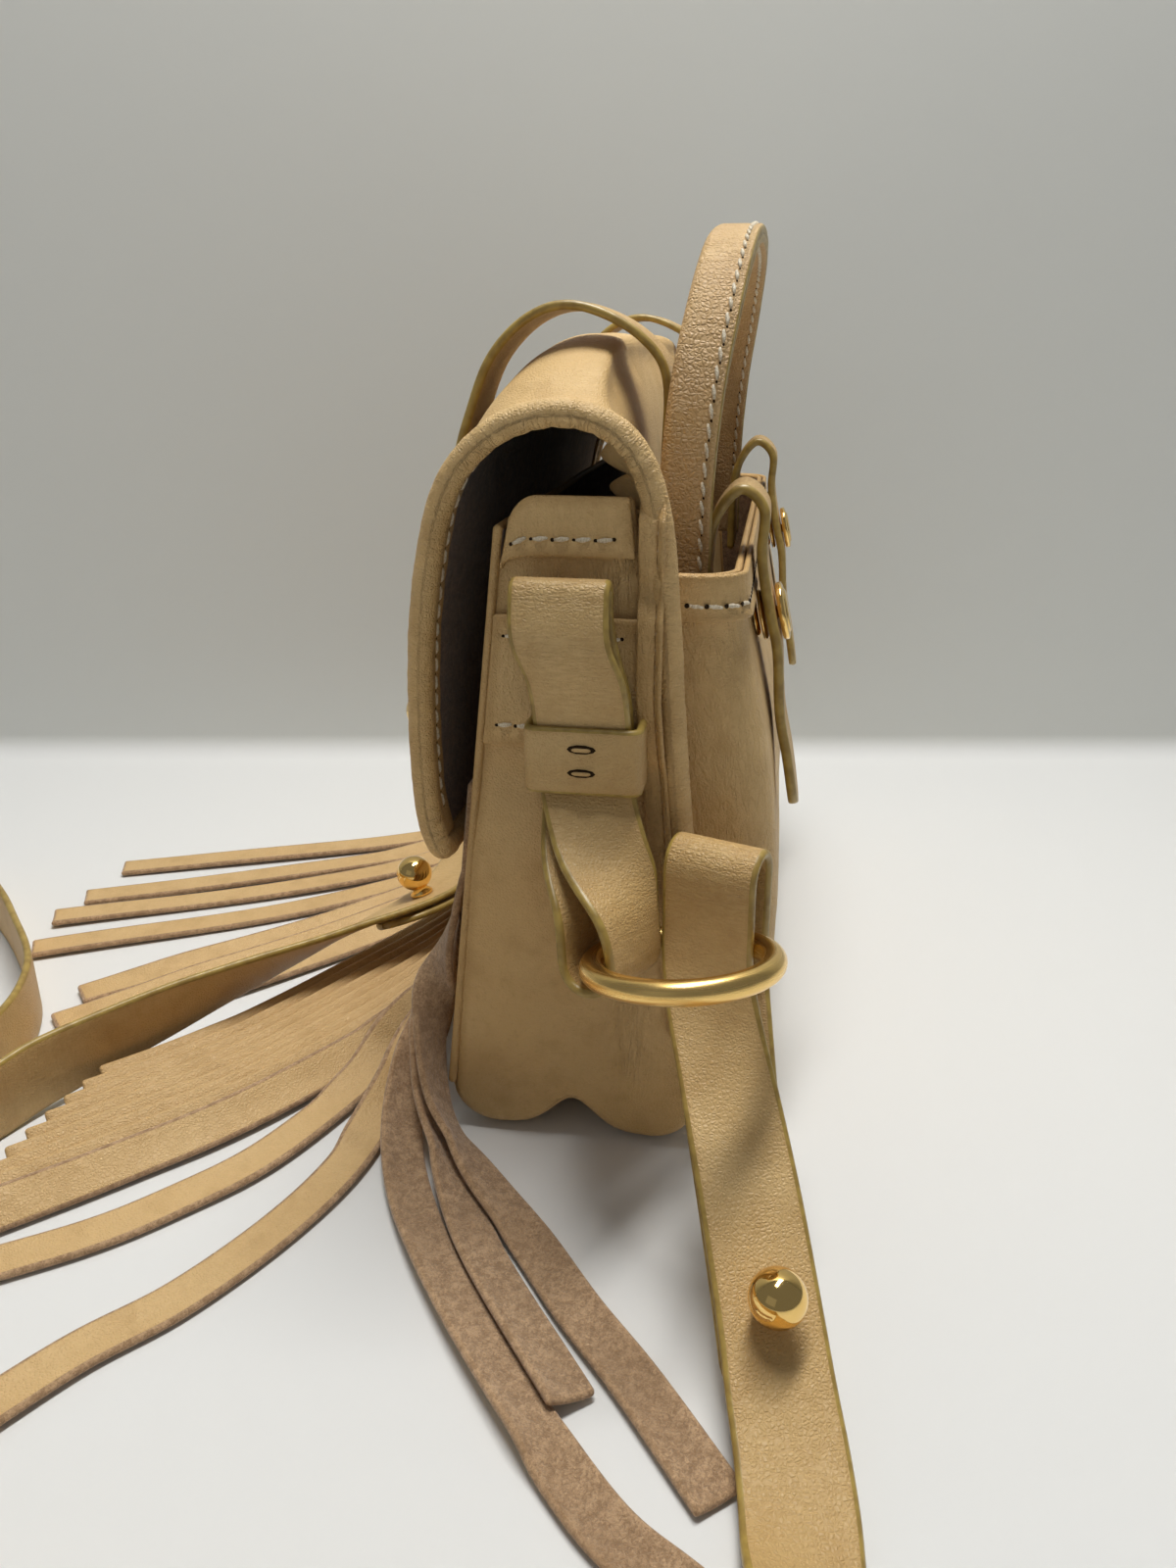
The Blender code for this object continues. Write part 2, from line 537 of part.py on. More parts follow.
def make_pocket():
    """The patch pocket on the back with rounded ends, and the hem along its mouth."""
    section = smooth_line([(y, z) for z, y in POCKET_SECTION], 12)[:, ::-1]
    hem = np.stack([np.linspace(POCKET_TOP - POCKET_HEM, POCKET_TOP + 0.0002, 3)] * 2, axis=1)
    hem[:, 1] = np.interp(hem[:, 0], section[:, 0], section[:, 1])
    sheet("back_pocket", pocket_grid(section, 0.0), POCKET_LEATHER, LEATHER_MAT)
    outward = POCKET_LEATHER / 2 + SEAM_GAP + HEM_LEATHER / 2
    sheet("pocket_hem", pocket_grid(hem, outward), HEM_LEATHER, LEATHER_MAT)


def pocket_grid(section, outward):
    """Rows of the pocket: from the back sheet out round one end, along the outer face and back in."""
    corner = np.radians(np.linspace(0, 90, 4))
    rows = []
    for z, y in section:
        half, y = POCKET_HALF_LENGTH + outward, y + outward
        seat = sheet_back(z) - back_inset(half, sheet_back(z), z) + LEATHER / 2 + POCKET_SEAM_GAP
        round_off = min(POCKET_CORNER, (y - seat) * 0.8)
        bend = [(half - round_off * (1 - np.cos(t)), y - round_off * (1 - np.sin(t))) for t in corner]
        side = [(half, seat), (half, (seat + bend[0][1]) / 2)] + bend + [(0.060, y), (0.030, y), (0.0, y)]
        rows.append([(px, py, z) for px, py in side] + [(-px, py, z) for px, py in side[-2::-1]])
    return np.array(rows)


def sheet_back(z):
    """Place of the back sheet's middle at a height, at the bag's ends."""
    back = np.array(FLAP_SECTION[:8])
    return np.interp(z, back[:, 1], back[:, 0])


def make_handle():
    """The handle: a folded strip that arches along the bag's length, with its feet in the pocket."""
    near = smooth_line(HANDLE_ROUTE, 22)
    line = np.vstack([near, near[-2::-1] * (-1, 1, 1)])
    widths = np.tile([0, 1.0, 0], (len(line), 1))
    sheet("top_handle", ribbon_grid(line, widths, HANDLE_WIDTH), HANDLE_THICKNESS, EDGE_MAT)


def make_belts_and_tabs():
    """At both ends: the belt over the flap with its stud, and the snap tab over the pocket's mouth."""
    belt = smooth_line(BELT_ROUTE, 34)
    normal, place = snap_place()
    tab = snap_tab_line(normal, place)
    for side, label in ((1, "right"), (-1, "left")):
        x = side * BELT_STATION
        across = np.tile([1.0, 0, 0], (len(belt), 1))
        line = np.column_stack([np.full(len(belt), x), belt])
        sheet("flap_belt_" + label, ribbon_grid(line, across, BELT_WIDTH), BELT_THICKNESS, EDGE_MAT)
        foot = np.array([x, np.interp(BELT_ROUTE[0][1] + BELT_STUD_RUN, belt[:6, 1], belt[:6, 0]),
                         BELT_ROUTE[0][1] + BELT_STUD_RUN])
        front = np.array([0, -1.0, 0])
        make_ball_stud("belt_stud_" + label, foot + front * (BELT_THICKNESS / 2 + FIT_GAP), front)

        line = np.column_stack([np.full(len(tab), x), tab])
        across = np.tile([1.0, 0, 0], (len(tab), 1))
        strip = ribbon_grid(line, across, BACK_TAB_WIDTH)
        tab_piece = sheet("back_tab_" + label, strip, BACK_TAB_THICKNESS, EDGE_MAT)
        at = np.array([x, *place])
        out = np.array([0, *normal])
        stack = POCKET_LEATHER / 2 + FIT_GAP
        shank = 2 * FIT_GAP + BACK_TAB_THICKNESS + FIT_GAP
        turned("snap_stud_" + label, [(0, SNAP_STUD_HEIGHT), (0.0040, SNAP_STUD_HEIGHT), (0.0048, 0.0006),
                                      (0.0052, 0), (0, 0)], at + out * stack, out, GOLD_MAT)
        stack += SNAP_STUD_HEIGHT + FIT_GAP
        turned("snap_socket_" + label, [(0.0, SNAP_SOCKET_HEIGHT), (0.0052, SNAP_SOCKET_HEIGHT),
                                        (SNAP_SOCKET_RADIUS, 0.0008), (SNAP_SOCKET_RADIUS, 0), (0.0, 0)],
               at + out * stack, out, GOLD_MAT)
        stack += SNAP_SOCKET_HEIGHT + FIT_GAP
        cut_round_hole(tab_piece, at + out * (stack + BACK_TAB_THICKNESS / 2), out, SNAP_HOLE_RADIUS, 0.006)
        turned("snap_cap_" + label, [(0, SNAP_CAP_HEIGHT + shank), (0.0035, SNAP_CAP_HEIGHT * 0.93 + shank),
                                     (0.0058, SNAP_CAP_HEIGHT * 0.66 + shank), (SNAP_CAP_RADIUS, 0.0006 + shank),
                                     (SNAP_CAP_RADIUS * 0.96, shank), (SNAP_SHANK_RADIUS, shank),
                                     (SNAP_SHANK_RADIUS, FIT_GAP), (0, FIT_GAP)],
               at + out * (stack - FIT_GAP), out, GOLD_MAT)


def snap_place():
    """Outward direction (y, z) of the pocket's face at the snap, and the point on its middle there."""
    section = smooth_line([(y, z) for z, y in POCKET_SECTION], 200)
    k = int(np.argmin(np.abs(section[:, 1] - SNAP_HEIGHT)))
    along = unit(section[k + 3] - section[k - 3])
    return np.array([along[1], -along[0]]), section[k]


def snap_tab_line(normal, place):
    """The tab's middle line: up out of the pocket, over its mouth and down to a tip, level at the snap."""
    rise = (POCKET_LEATHER / 2 + SNAP_STUD_HEIGHT + SNAP_SOCKET_HEIGHT + 3 * FIT_GAP + BACK_TAB_THICKNESS / 2)
    at_snap = place + normal * rise
    down = np.array([normal[1], -normal[0]])
    reach = SNAP_CAP_RADIUS + 0.0015
    points = [(0.0262, 0.1220), (0.0262, 0.1400), (0.0282, 0.1500), (0.0335, 0.1562), (0.0388, 0.1520),
              tuple(at_snap - down * (reach + 0.0075) + normal * 0.0006), tuple(at_snap - down * reach),
              tuple(at_snap), tuple(at_snap + down * reach), (0.0452, 0.1040), (0.0478, 0.0920), (0.0500, 0.0800)]
    return smooth_line(points, 40)


def make_ball_stud(name, seat, direction):
    """A polished ball on a short neck with a flange that sits on the leather."""
    top = STUD_FLANGE_HEIGHT + STUD_NECK_HEIGHT * 0.4 + 2 * STUD_BALL_RADIUS
    middle = top - STUD_BALL_RADIUS
    neck_angle = np.arccos((STUD_NECK_RADIUS) / STUD_BALL_RADIUS)
    arc = np.linspace(pi / 2, -neck_angle, 10)
    ball = [(STUD_BALL_RADIUS * np.cos(t), middle + STUD_BALL_RADIUS * np.sin(t)) for t in arc]
    ball[0] = (0.0, ball[0][1])
    base = [(STUD_FLANGE_RADIUS, STUD_FLANGE_HEIGHT), (STUD_FLANGE_RADIUS, 0), (0, 0)]
    turned(name, ball + base, seat, direction, GOLD_MAT, 18)


def dense_route(points):
    """Catmull-Rom through stations of place and width direction, with steps of about 4 mm."""
    pts = np.array(points, float)
    ends = np.vstack([2 * pts[0] - pts[1], pts, 2 * pts[-1] - pts[-2]])
    runs = []
    for a, b, c, d in zip(ends[:-3], ends[1:-2], ends[2:-1], ends[3:]):
        steps = int(np.clip(np.linalg.norm(c[:3] - b[:3]) / 0.0055, 2, 5))
        t = np.linspace(0, 1, steps, endpoint=False)[:, None]
        runs.append(0.5 * (2 * b + (c - a) * t + (2 * a - 5 * b + 4 * c - d) * t ** 2
                           + (3 * b - a - 3 * c + d) * t ** 3))
    return np.vstack(runs + [pts[-1:]])


def strap_faces(line):
    """Unit tangents and grain-side normals along a strap's stations."""
    along = unit(np.gradient(line[:, :3], axis=0))
    return along, unit(np.cross(along, unit(line[:, 3:])))


def running_length(line):
    """Distance along a line at each of its points."""
    return np.concatenate([[0], np.cumsum(np.linalg.norm(np.diff(line[:, :3], axis=0), axis=1))])


def folded_back(line, start, end):
    """The stretch of a strap's line between two running lengths, moved to lie behind it."""
    run = running_length(line)
    _, normal = strap_faces(line)
    behind = line.copy()
    behind[:, :3] -= normal * (STRAP_THICKNESS + FOLD_GAP)
    return behind[(run > start) & (run < end)]


def half_turn(first, last, bulge_along):
    """Stations of a bend that joins two layers of a strap round a wire."""
    a, b = np.array(first), np.array(last)
    middle, reach = (a[:3] + b[:3]) / 2, (a[:3] - b[:3]) / 2
    out = np.array(bulge_along) * np.linalg.norm(reach)
    turn = np.radians((30, 60, 90, 120, 150))
    return [(*(middle + reach * np.cos(t) + out * np.sin(t)), *a[3:]) for t in turn]


def make_shoulder_strap():
    """The long strap: each end runs through a ring, folds back on itself and is held by a ball stud."""
    main = dense_route(STRAP_ROUTE)
    run = running_length(main)
    near_back = folded_back(main, 0.043, NEAR_STUD_RUN + STRAP_END_PAST_STUD)
    far_run = run[-1] - FAR_STUD_RUN
    far_back = folded_back(main, far_run - STRAP_END_PAST_STUD, run[-1] - 0.024)
    near_top = half_turn(NEAR_FOLD[0], STRAP_ROUTE[0], (0, 0, 1.0))
    far_top = half_turn(STRAP_ROUTE[-1], FAR_FOLD[0], (0, 1.05, 0))
    near = np.vstack([near_back[::-1], dense_route(NEAR_FOLD[::-1]), near_top])
    far = np.vstack([far_top, dense_route(FAR_FOLD), far_back[::-1]])
    line = np.vstack([near, main, far])
    grid = ribbon_grid(line[:, :3], line[:, 3:], STRAP_WIDTH, 5)
    strap = sheet("shoulder_strap", grid, STRAP_THICKNESS, EDGE_MAT)

    _, normal = strap_faces(main)
    for label, at in (("right", NEAR_STUD_RUN), ("left", far_run)):
        k = int(np.argmin(np.abs(run - at)))
        place, out = main[k, :3], normal[k]
        cut_round_hole(strap, place - out * STRAP_THICKNESS / 2, out, STUD_HOLE_RADIUS, 0.008)
        make_ball_stud("strap_stud_" + label, place + out * (STRAP_THICKNESS / 2 + FIT_GAP), out)
        under = STRAP_THICKNESS * 1.5 + FOLD_GAP + FIT_GAP
        shank = 2 * STRAP_THICKNESS + FOLD_GAP + 1.5 * FIT_GAP
        screw = [(0, shank), (SCREW_SHANK_RADIUS, shank), (SCREW_SHANK_RADIUS, 0), (SCREW_HEAD_RADIUS, 0),
                 (SCREW_HEAD_RADIUS * 0.9, -SCREW_HEAD_HEIGHT), (0, -SCREW_HEAD_HEIGHT)]
        turned("strap_stud_screw_" + label, screw, place - out * under, out, GOLD_MAT, 14)


def strip_plans():
    """Each strip's way in plan, from its root under the flap to its end, at running lengths that grow."""
    share = np.linspace(0, 1, GROUP_COUNT)[:, None]
    stations = [np.array(first) * (1 - share) + np.array(last) * share
                for first, last in (GROUP_MIDDLE, GROUP_LATE, GROUP_END)]
    group = [tuple(map(tuple, way)) for way in np.stack(stations, axis=1)]
    ways = list(FAR_STRIPS) + group + list(NEAR_STRIPS)
    plans = []
    for index, way in enumerate(ways):
        root = np.array([(index - (STRIP_COUNT - 1) / 2) * STRIP_PITCH, fringe_face(FRINGE_SPLIT_HEIGHT)])
        lead = root + ((way[0][0] - root[0]) * 0.10, -STRIP_LEAD)
        plan = smooth_line([root, lead, *way] if way[0][1] < -0.06 else [root, *way], 160)
        run = running_length(np.column_stack([plan, np.zeros(len(plan))]))
        stops = np.linspace(0, 1, 17)[1:] ** 1.35 * run[-1]
        plans.append((stops, np.stack([np.interp(stops, run, plan[:, k]) for k in (0, 1)], axis=1), plan))
    return plans


def strip_line(index, plans):
    """Middle line and width directions of one strip; it leans on the strip before it where they lie close."""
    gone, plan, _ = plans[index]
    near = [plans[k][2] for k in (index - 1, index + 1) if 0 <= k < STRIP_COUNT]
    apart = np.min([np.linalg.norm(plan[:, None] - line[None], axis=2).min(axis=1) for line in near], axis=0)
    bank = np.arcsin(np.clip(STRIP_LAP / apart, 0, 0.75)) * (1 - smoothstep((apart - STRIP_PITCH) / 0.002))
    bank = bank * smoothstep(gone / 0.012)
    low = FRINGE_THICKNESS / 2 + 0.0004 + STRIP_PITCH / 2 * np.sin(bank)
    z = low + (FRINGE_SPLIT_HEIGHT - low) * np.exp(-(gone / FRINGE_DROP) ** 1.2)
    line = np.column_stack([plan, z])
    along = unit(np.gradient(line, axis=0))
    flat = np.column_stack([-along[:, 1], along[:, 0], np.zeros(len(along))])
    start = (1 - smoothstep(gone / 0.012))[:, None]
    flat = unit(unit(flat) * (1 - start) + np.array([1.0, 0, 0]) * start)
    widths = flat * np.cos(bank)[:, None] - np.cross(along, flat) * np.sin(bank)[:, None]
    return line, widths


def fringe_face(z):
    """Place of the fringe's root band at a height, just outside the front panel."""
    return -(half_width(z) + SEAM_GAP + FRINGE_THICKNESS / 2)


def make_fringe():
    """One panel under the flap's edge, slit into strips below it."""
    top = []
    for z in (FRINGE_ROOT_HEIGHT, (FRINGE_ROOT_HEIGHT + FRINGE_SPLIT_HEIGHT) / 2, FRINGE_SPLIT_HEIGHT):
        for i in range(STRIP_COUNT):
            x = (i - (STRIP_COUNT - 1) / 2) * STRIP_PITCH
            for edge in (-1, 1):
                top.append((x + edge * (STRIP_PITCH - STRIP_SLIT) / 2, fringe_face(z), z))
    columns = 2 * STRIP_COUNT
    faces = [(r * columns + c, (r + 1) * columns + c, (r + 1) * columns + c + 1, r * columns + c + 1)
             for r in range(2) for c in range(columns - 1)]
    plans = strip_plans()
    for i in range(STRIP_COUNT):
        line, widths = strip_line(i, plans)
        above = (2 * columns + 2 * i, 2 * columns + 2 * i + 1)
        for row in ribbon_grid(line, widths, STRIP_PITCH - STRIP_SLIT):
            below = (len(top), len(top) + 1)
            top.extend(map(tuple, row))
            faces.append((above[0], below[0], below[1], above[1]))
            above = below
    mesh = bpy.data.meshes.new("fringe")
    mesh.from_pydata([tuple(map(float, p)) for p in top], [], faces)
    fringe = link(bpy.data.objects.new("fringe", mesh), SUEDE_MAT)
    wall = fringe.modifiers.new("thickness", "SOLIDIFY")
    wall.thickness = FRINGE_THICKNESS
    wall.offset = 0


def main():
    """Builds the bag's pieces in order."""
    make_body()
    make_ring_hardware()
    make_pocket()
    make_handle()
    make_belts_and_tabs()
    make_shoulder_strap()
    make_fringe()


clear_scene()
BAG = bpy.data.collections.new("fringe_saddle_bag")
CUTTERS = bpy.data.collections.new("cutters")
bpy.context.scene.collection.children.link(BAG)
bpy.context.scene.collection.children.link(CUTTERS)
LEATHER_MAT = make_material("tan_leather", LEATHER_COLOR, 0.55)
EDGE_MAT = make_material("painted_edge_strap", EDGE_COLOR, 0.5)
SUEDE_MAT = make_material("fringe_leather", SUEDE_COLOR, 0.9)
GOLD_MAT = make_material("gold_metal", GOLD_COLOR, 0.25, 1.0)
main()
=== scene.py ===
"""Looks of the fringe saddle bag: calf leather, suede flesh side, painted edges, cream thread and gold metal.

Every shape is a grid of points worked out with numpy: a surface of two parameters, or a profile carried along a
line. Metres, +Z up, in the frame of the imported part.
"""

import bmesh
import bpy
import numpy as np
from math import pi, radians
from mathutils import Matrix


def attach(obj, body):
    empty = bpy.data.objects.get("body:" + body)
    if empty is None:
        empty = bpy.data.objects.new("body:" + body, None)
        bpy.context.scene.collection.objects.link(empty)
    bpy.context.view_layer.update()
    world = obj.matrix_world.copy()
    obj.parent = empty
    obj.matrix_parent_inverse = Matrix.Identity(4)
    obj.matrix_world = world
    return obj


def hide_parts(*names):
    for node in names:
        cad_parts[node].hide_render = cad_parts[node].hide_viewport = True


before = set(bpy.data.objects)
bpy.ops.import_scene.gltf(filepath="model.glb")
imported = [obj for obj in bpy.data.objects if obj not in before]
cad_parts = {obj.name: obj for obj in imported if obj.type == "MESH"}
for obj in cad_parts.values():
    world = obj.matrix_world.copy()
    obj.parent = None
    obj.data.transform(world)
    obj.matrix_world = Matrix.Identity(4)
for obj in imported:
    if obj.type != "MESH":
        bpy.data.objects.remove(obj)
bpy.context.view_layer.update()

# The body, as in the part's source
BODY_LENGTH = 0.212
HALF = BODY_LENGTH / 2
BODY_HEIGHT = 0.157
BASE_HALF_WIDTH = 0.0330
SIDE_SLOPE = 0.115
LEATHER = 0.0020
SEAM_GAP = 0.0003
BASE_RADIUS = 0.010
BASE_INSET = 0.00345
BASE_BEND = 0.008
PINCH_HEIGHT = 0.009
PINCH_WIDTH = 0.008
PINCH_LENGTH = 0.055
PANEL_FOOT = 0.0145
ROLL_RADIUS = 0.0030
ROLL_CORNER = 0.0022
DOME_HEIGHT = 0.0135
DOME_RUN = 0.024
DOME_START = 0.135
BACK_INSET = 0.0075
INSET_RUN = 0.012
FLAP_SECTION = (
    (0.0338, 0.0125), (0.0322, 0.025), (0.0285, 0.055), (0.0250, 0.085), (0.0225, 0.112), (0.0207, 0.135),
    (0.0185, 0.154), (0.0140, 0.1665), (0.0065, 0.1725), (-0.0030, 0.1740), (-0.0125, 0.1715),
    (-0.0208, 0.1655), (-0.0262, 0.1570), (-0.0298, 0.1440), (-0.0322, 0.1280), (-0.0332, 0.1120),
    (-0.0333, 0.0970), (-0.0326, 0.0860), (-0.0303, 0.0768),
)

# Trim of the ends, tabs, keepers and rings
HEM_HEIGHT = 0.0105
MOUTH_SAG = 0.0075
CORNER_REACH = 0.50
HEM_THICKNESS = 0.0012
BAND_LOW = 0.1055
BAND_HEIGHT = 0.0275
STRAP_WIDTH = 0.0185
STRAP_THICKNESS = 0.0021
TAB_WIDTH = 0.0185
TAB_LAYER_GAP = 0.0004
TAB_TOP = 0.1405
TAB_SEWN_TOP = 0.1300
KEEPER_HEIGHT = 0.0130
KEEPER_MID = 0.1055
KEEPER_WALL = 0.0018
KEEPER_CLEARANCE = 0.0010
KEEPER_SIDE_ROOM = 0.0016
RING_WIRE_RADIUS = 0.0026
RING_RADIUS = 0.0184
RING_CLEARANCE = 0.0010
NEAR_TAB_SHIFT = 0.0116
NEAR_TAB_TWIST = radians(66)
FAR_TAB_SHIFT = -0.004
NEAR_BEND_OUT = 0.0221
FAR_BEND_OUT = 0.0090
BEND_HEIGHT = 0.0668
RING_TILT = radians(12)
RING_SIDE_TILT = 0.10
TAB_LEAN = 0.42
TAB_TOP_FULLNESS = 1.3

# Shoulder strap: places and width directions along its middle line, from the near ring to the far one
STRAP_ROUTE = (
    (0.1242, 0.0324, 0.0840, 0.33, 0.94, 0), (0.1246, 0.0326, 0.0740, 0.33, 0.94, 0),
    (0.1252, 0.0328, 0.0650, 0.30, 0.95, 0), (0.1300, 0.0350, 0.0550, 0.15, 0.98, 0),
    (0.1395, 0.0392, 0.0435, 0.0, 0.99, 0), (0.1540, 0.0445, 0.0300, -0.16, 0.98, 0),
    (0.1690, 0.0492, 0.0175, -0.28, 0.96, 0), (0.1805, 0.0520, 0.0105, -0.24, 0.97, 0),
    (0.1920, 0.0545, 0.0062, -0.2, 0.98, -0.02), (0.2050, 0.0560, 0.0044, -0.1, 0.98, -0.12),
    (0.2230, 0.0560, 0.0070, 0.05, 0.80, -0.60), (0.2400, 0.0500, 0.0096, 0.1, 0.35, -0.95),
    (0.2530, 0.0370, 0.0100, 0, 0, -1), (0.2600, 0.0100, 0.0100, 0, 0, -1),
    (0.2610, -0.0300, 0.0100, 0, 0, -1), (0.2560, -0.0800, 0.0100, 0, 0, -1),
    (0.2420, -0.1300, 0.0100, 0, 0, -1), (0.2180, -0.1760, 0.0100, 0, 0, -1),
    (0.1860, -0.2180, 0.0100, 0, 0, -1), (0.1420, -0.2470, 0.0100, 0, 0, -1),
    (0.0950, -0.2640, 0.0100, 0, 0, -1), (0.0450, -0.2700, 0.0100, 0, 0, -1),
    (0.0160, -0.2640, 0.0100, 0, 0, -1), (0.0060, -0.2500, 0.0100, 0, 0, -1),
    (0.0140, -0.2320, 0.0100, 0, 0, -1), (0.0370, -0.2040, 0.0100, 0, 0, -1),
    (0.0560, -0.1850, 0.0100, 0, 0, -1), (0.0710, -0.1710, 0.0100, 0, 0, -1),
    (0.0830, -0.1630, 0.0100, 0, 0, -1), (0.0970, -0.1575, 0.0100, 0, 0, -1),
    (0.1100, -0.1560, 0.0100, 0, 0, -1), (0.1240, -0.1590, 0.0100, 0, 0, -1),
    (0.1370, -0.1680, 0.0100, 0, 0, -1), (0.1460, -0.1830, 0.0100, 0, 0, -1),
    (0.1520, -0.1980, 0.0100, 0, 0, -1), (0.1630, -0.2045, 0.0100, 0, 0, -1),
    (0.1730, -0.1940, 0.0100, 0, 0, -1), (0.1730, -0.1760, 0.0100, 0, 0, -1),
    (0.1620, -0.1590, 0.0100, 0, 0, -1), (0.1460, -0.1480, 0.0100, 0, 0, -1),
    (0.1290, -0.1415, 0.0105, 0, 0, -1), (0.1180, -0.1370, 0.0115, 0, 0, -1),
    (0.1040, -0.1275, 0.0130, -0.1, -0.1, -0.98), (0.0900, -0.1160, 0.0150, -0.2, -0.22, -0.95),
    (0.0750, -0.1030, 0.0170, -0.35, -0.40, -0.85), (0.0500, -0.0820, 0.0195, -0.50, -0.62, -0.58),
    (0.0204, -0.0585, 0.0235, -0.42, -0.84, -0.30), (-0.0100, -0.0535, 0.0300, -0.15, -0.90, -0.42),
    (-0.0450, -0.0518, 0.0390, 0.0, -0.70, -0.70), (-0.0800, -0.0510, 0.0455, 0.0, -0.30, -0.95),
    (-0.1000, -0.0520, 0.0478, 0, 0, -1), (-0.1130, -0.0470, 0.0484, 0, 0, -1),
    (-0.1192, -0.0370, 0.0484, 0, 0, -1), (-0.1207, -0.0290, 0.0484, 0, 0, -1),
    (-0.1208, -0.0198, 0.0484, 0, 0, -1),
)
STRAP_END_PAST_STUD = 0.016
NEAR_STUD_RUN = 0.0870
FAR_STUD_RUN = 0.1745
NEAR_FOLD = (
    (0.1142, 0.0356, 0.0840, 0.33, 0.94, 0), (0.1142, 0.0356, 0.0740, 0.33, 0.94, 0),
    (0.1140, 0.0358, 0.0650, 0.32, 0.94, 0), (0.1180, 0.0362, 0.0560, 0.15, 0.98, 0),
)
FAR_FOLD = (
    (-0.1097, -0.0198, 0.0484, 0, 0, -1), (-0.1099, -0.0290, 0.0484, 0, 0, -1),
    (-0.1115, -0.0355, 0.0484, 0, 0, -1),
)
STUD_BALL_RADIUS = 0.0055
STUD_NECK_RADIUS = 0.0022
STUD_FLANGE_RADIUS = 0.0036
STUD_FLANGE_HEIGHT = 0.0008
STUD_NECK_HEIGHT = 0.0022
SCREW_HEAD_RADIUS = 0.0038
SCREW_HEAD_HEIGHT = 0.0009
SCREW_SHANK_RADIUS = 0.0012
FOLD_GAP = 0.0008
FIT_GAP = 0.0003

# Back pocket, handle, belts and snap tabs
POCKET_HALF_LENGTH = 0.0985
POCKET_TOP = 0.1410
POCKET_LEATHER = 0.0016
POCKET_CORNER = 0.009
POCKET_SEAM_GAP = 0.0008
POCKET_HEM = 0.0085
HEM_LEATHER = 0.0013
POCKET_SECTION = (
    (0.0155, 0.0361), (0.0205, 0.0397), (0.0320, 0.0445), (0.0500, 0.0463), (0.0720, 0.0458),
    (0.0960, 0.0430), (0.1180, 0.0385), (0.1300, 0.0358), (0.1410, 0.0342),
)
BELT_STATION = 0.066
HANDLE_WIDTH = 0.0120
HANDLE_THICKNESS = 0.0046
HANDLE_ROUTE = (
    (0.0800, 0.0218, 0.124), (0.0802, 0.0216, 0.140), (0.0804, 0.0218, 0.158), (0.0780, 0.0232, 0.177),
    (0.0690, 0.0256, 0.194), (0.0520, 0.0275, 0.2065), (0.0280, 0.0284, 0.2115), (0.0, 0.0286, 0.2125),
)
BELT_WIDTH = 0.0160
BELT_THICKNESS = 0.0020
BELT_ROUTE = (
    (-0.0360, 0.0900), (-0.0363, 0.1100), (-0.0358, 0.1300), (-0.0343, 0.1480), (-0.0315, 0.1625),
    (-0.0284, 0.1720), (-0.0233, 0.1836), (-0.0148, 0.1918), (-0.0051, 0.1945), (0.0063, 0.1908),
    (0.0143, 0.1842), (0.0166, 0.1770), (0.0164, 0.1640), (0.0162, 0.1500), (0.0168, 0.1360),
    (0.0180, 0.1240),
)
BELT_STUD_RUN = 0.0080
SNAP_HEIGHT = 0.1255
SNAP_CAP_RADIUS = 0.0068
SNAP_CAP_HEIGHT = 0.0024
SNAP_SOCKET_RADIUS = 0.0060
SNAP_SOCKET_HEIGHT = 0.0013
SNAP_STUD_HEIGHT = 0.0011
SNAP_SHANK_RADIUS = 0.0014
BACK_TAB_WIDTH = 0.0150
BACK_TAB_THICKNESS = 0.0024

# Fringe
STRIP_COUNT = 21
STRIP_PITCH = 0.0097
STRIP_SLIT = 0.0008
FRINGE_THICKNESS = 0.0018
FRINGE_ROOT_HEIGHT = 0.092
FRINGE_SPLIT_HEIGHT = 0.070
FRINGE_DROP = 0.0138
STRIP_LEAD = 0.018
STRIP_LAP = 0.0025
GROUP_MIDDLE = ((0.061, -0.086), (0.110, -0.0795))
GROUP_LATE = ((0.086, -0.1025), (0.136, -0.102))
GROUP_END = ((0.110, -0.1235), (0.164, -0.130))
GROUP_COUNT = 9
FAR_STRIPS = (
    ((-0.054, -0.110), (-0.018, -0.194)), ((-0.036, -0.110), (0.007, -0.194)),
    ((-0.020, -0.112), (0.023, -0.196)), ((-0.002, -0.110), (0.044, -0.190)),
    ((0.012, -0.098), (0.067, -0.158)), ((0.022, -0.097), (0.082, -0.157)),
    ((0.032, -0.095), (0.096, -0.154)),
)
NEAR_STRIPS = (
    ((0.072, -0.053), (0.098, -0.0605), (0.127, -0.0725), (0.145, -0.0865), (0.158, -0.0995), (0.172, -0.119)),
    ((0.081, -0.046), (0.102, -0.049), (0.128, -0.052), (0.150, -0.0595), (0.172, -0.0715), (0.187, -0.084),
     (0.2055, -0.0955)),
    ((0.087, -0.041), (0.103, -0.044), (0.131, -0.035), (0.163, -0.014), (0.202, 0.020), (0.214, 0.038)),
    ((0.094, -0.038), (0.108, -0.0365), (0.127, -0.0255), (0.151, -0.0110), (0.1825, 0.0135)),
    ((0.101, -0.036), (0.1145, -0.0315), (0.1275, -0.0180), (0.143, -0.0030), (0.161, 0.0115), (0.176, 0.0250),
     (0.197, 0.0420)),
)

# Camera and light
CAMERA_PLACE = (0.3355, 0.0425, 0.1867)
CAMERA_PITCH = radians(21.286)
CAMERA_YAW = radians(9.481)
FOCAL_PIXELS = 1155
PHOTO_HEIGHT = 1600
SENSOR = 36.0

WELD = 1e-6
FAR_FROM_RIM = 1.0


def unit(v):
    """Rows scaled to length one."""
    return v / np.maximum(np.linalg.norm(v, axis=-1, keepdims=True), 1e-12)


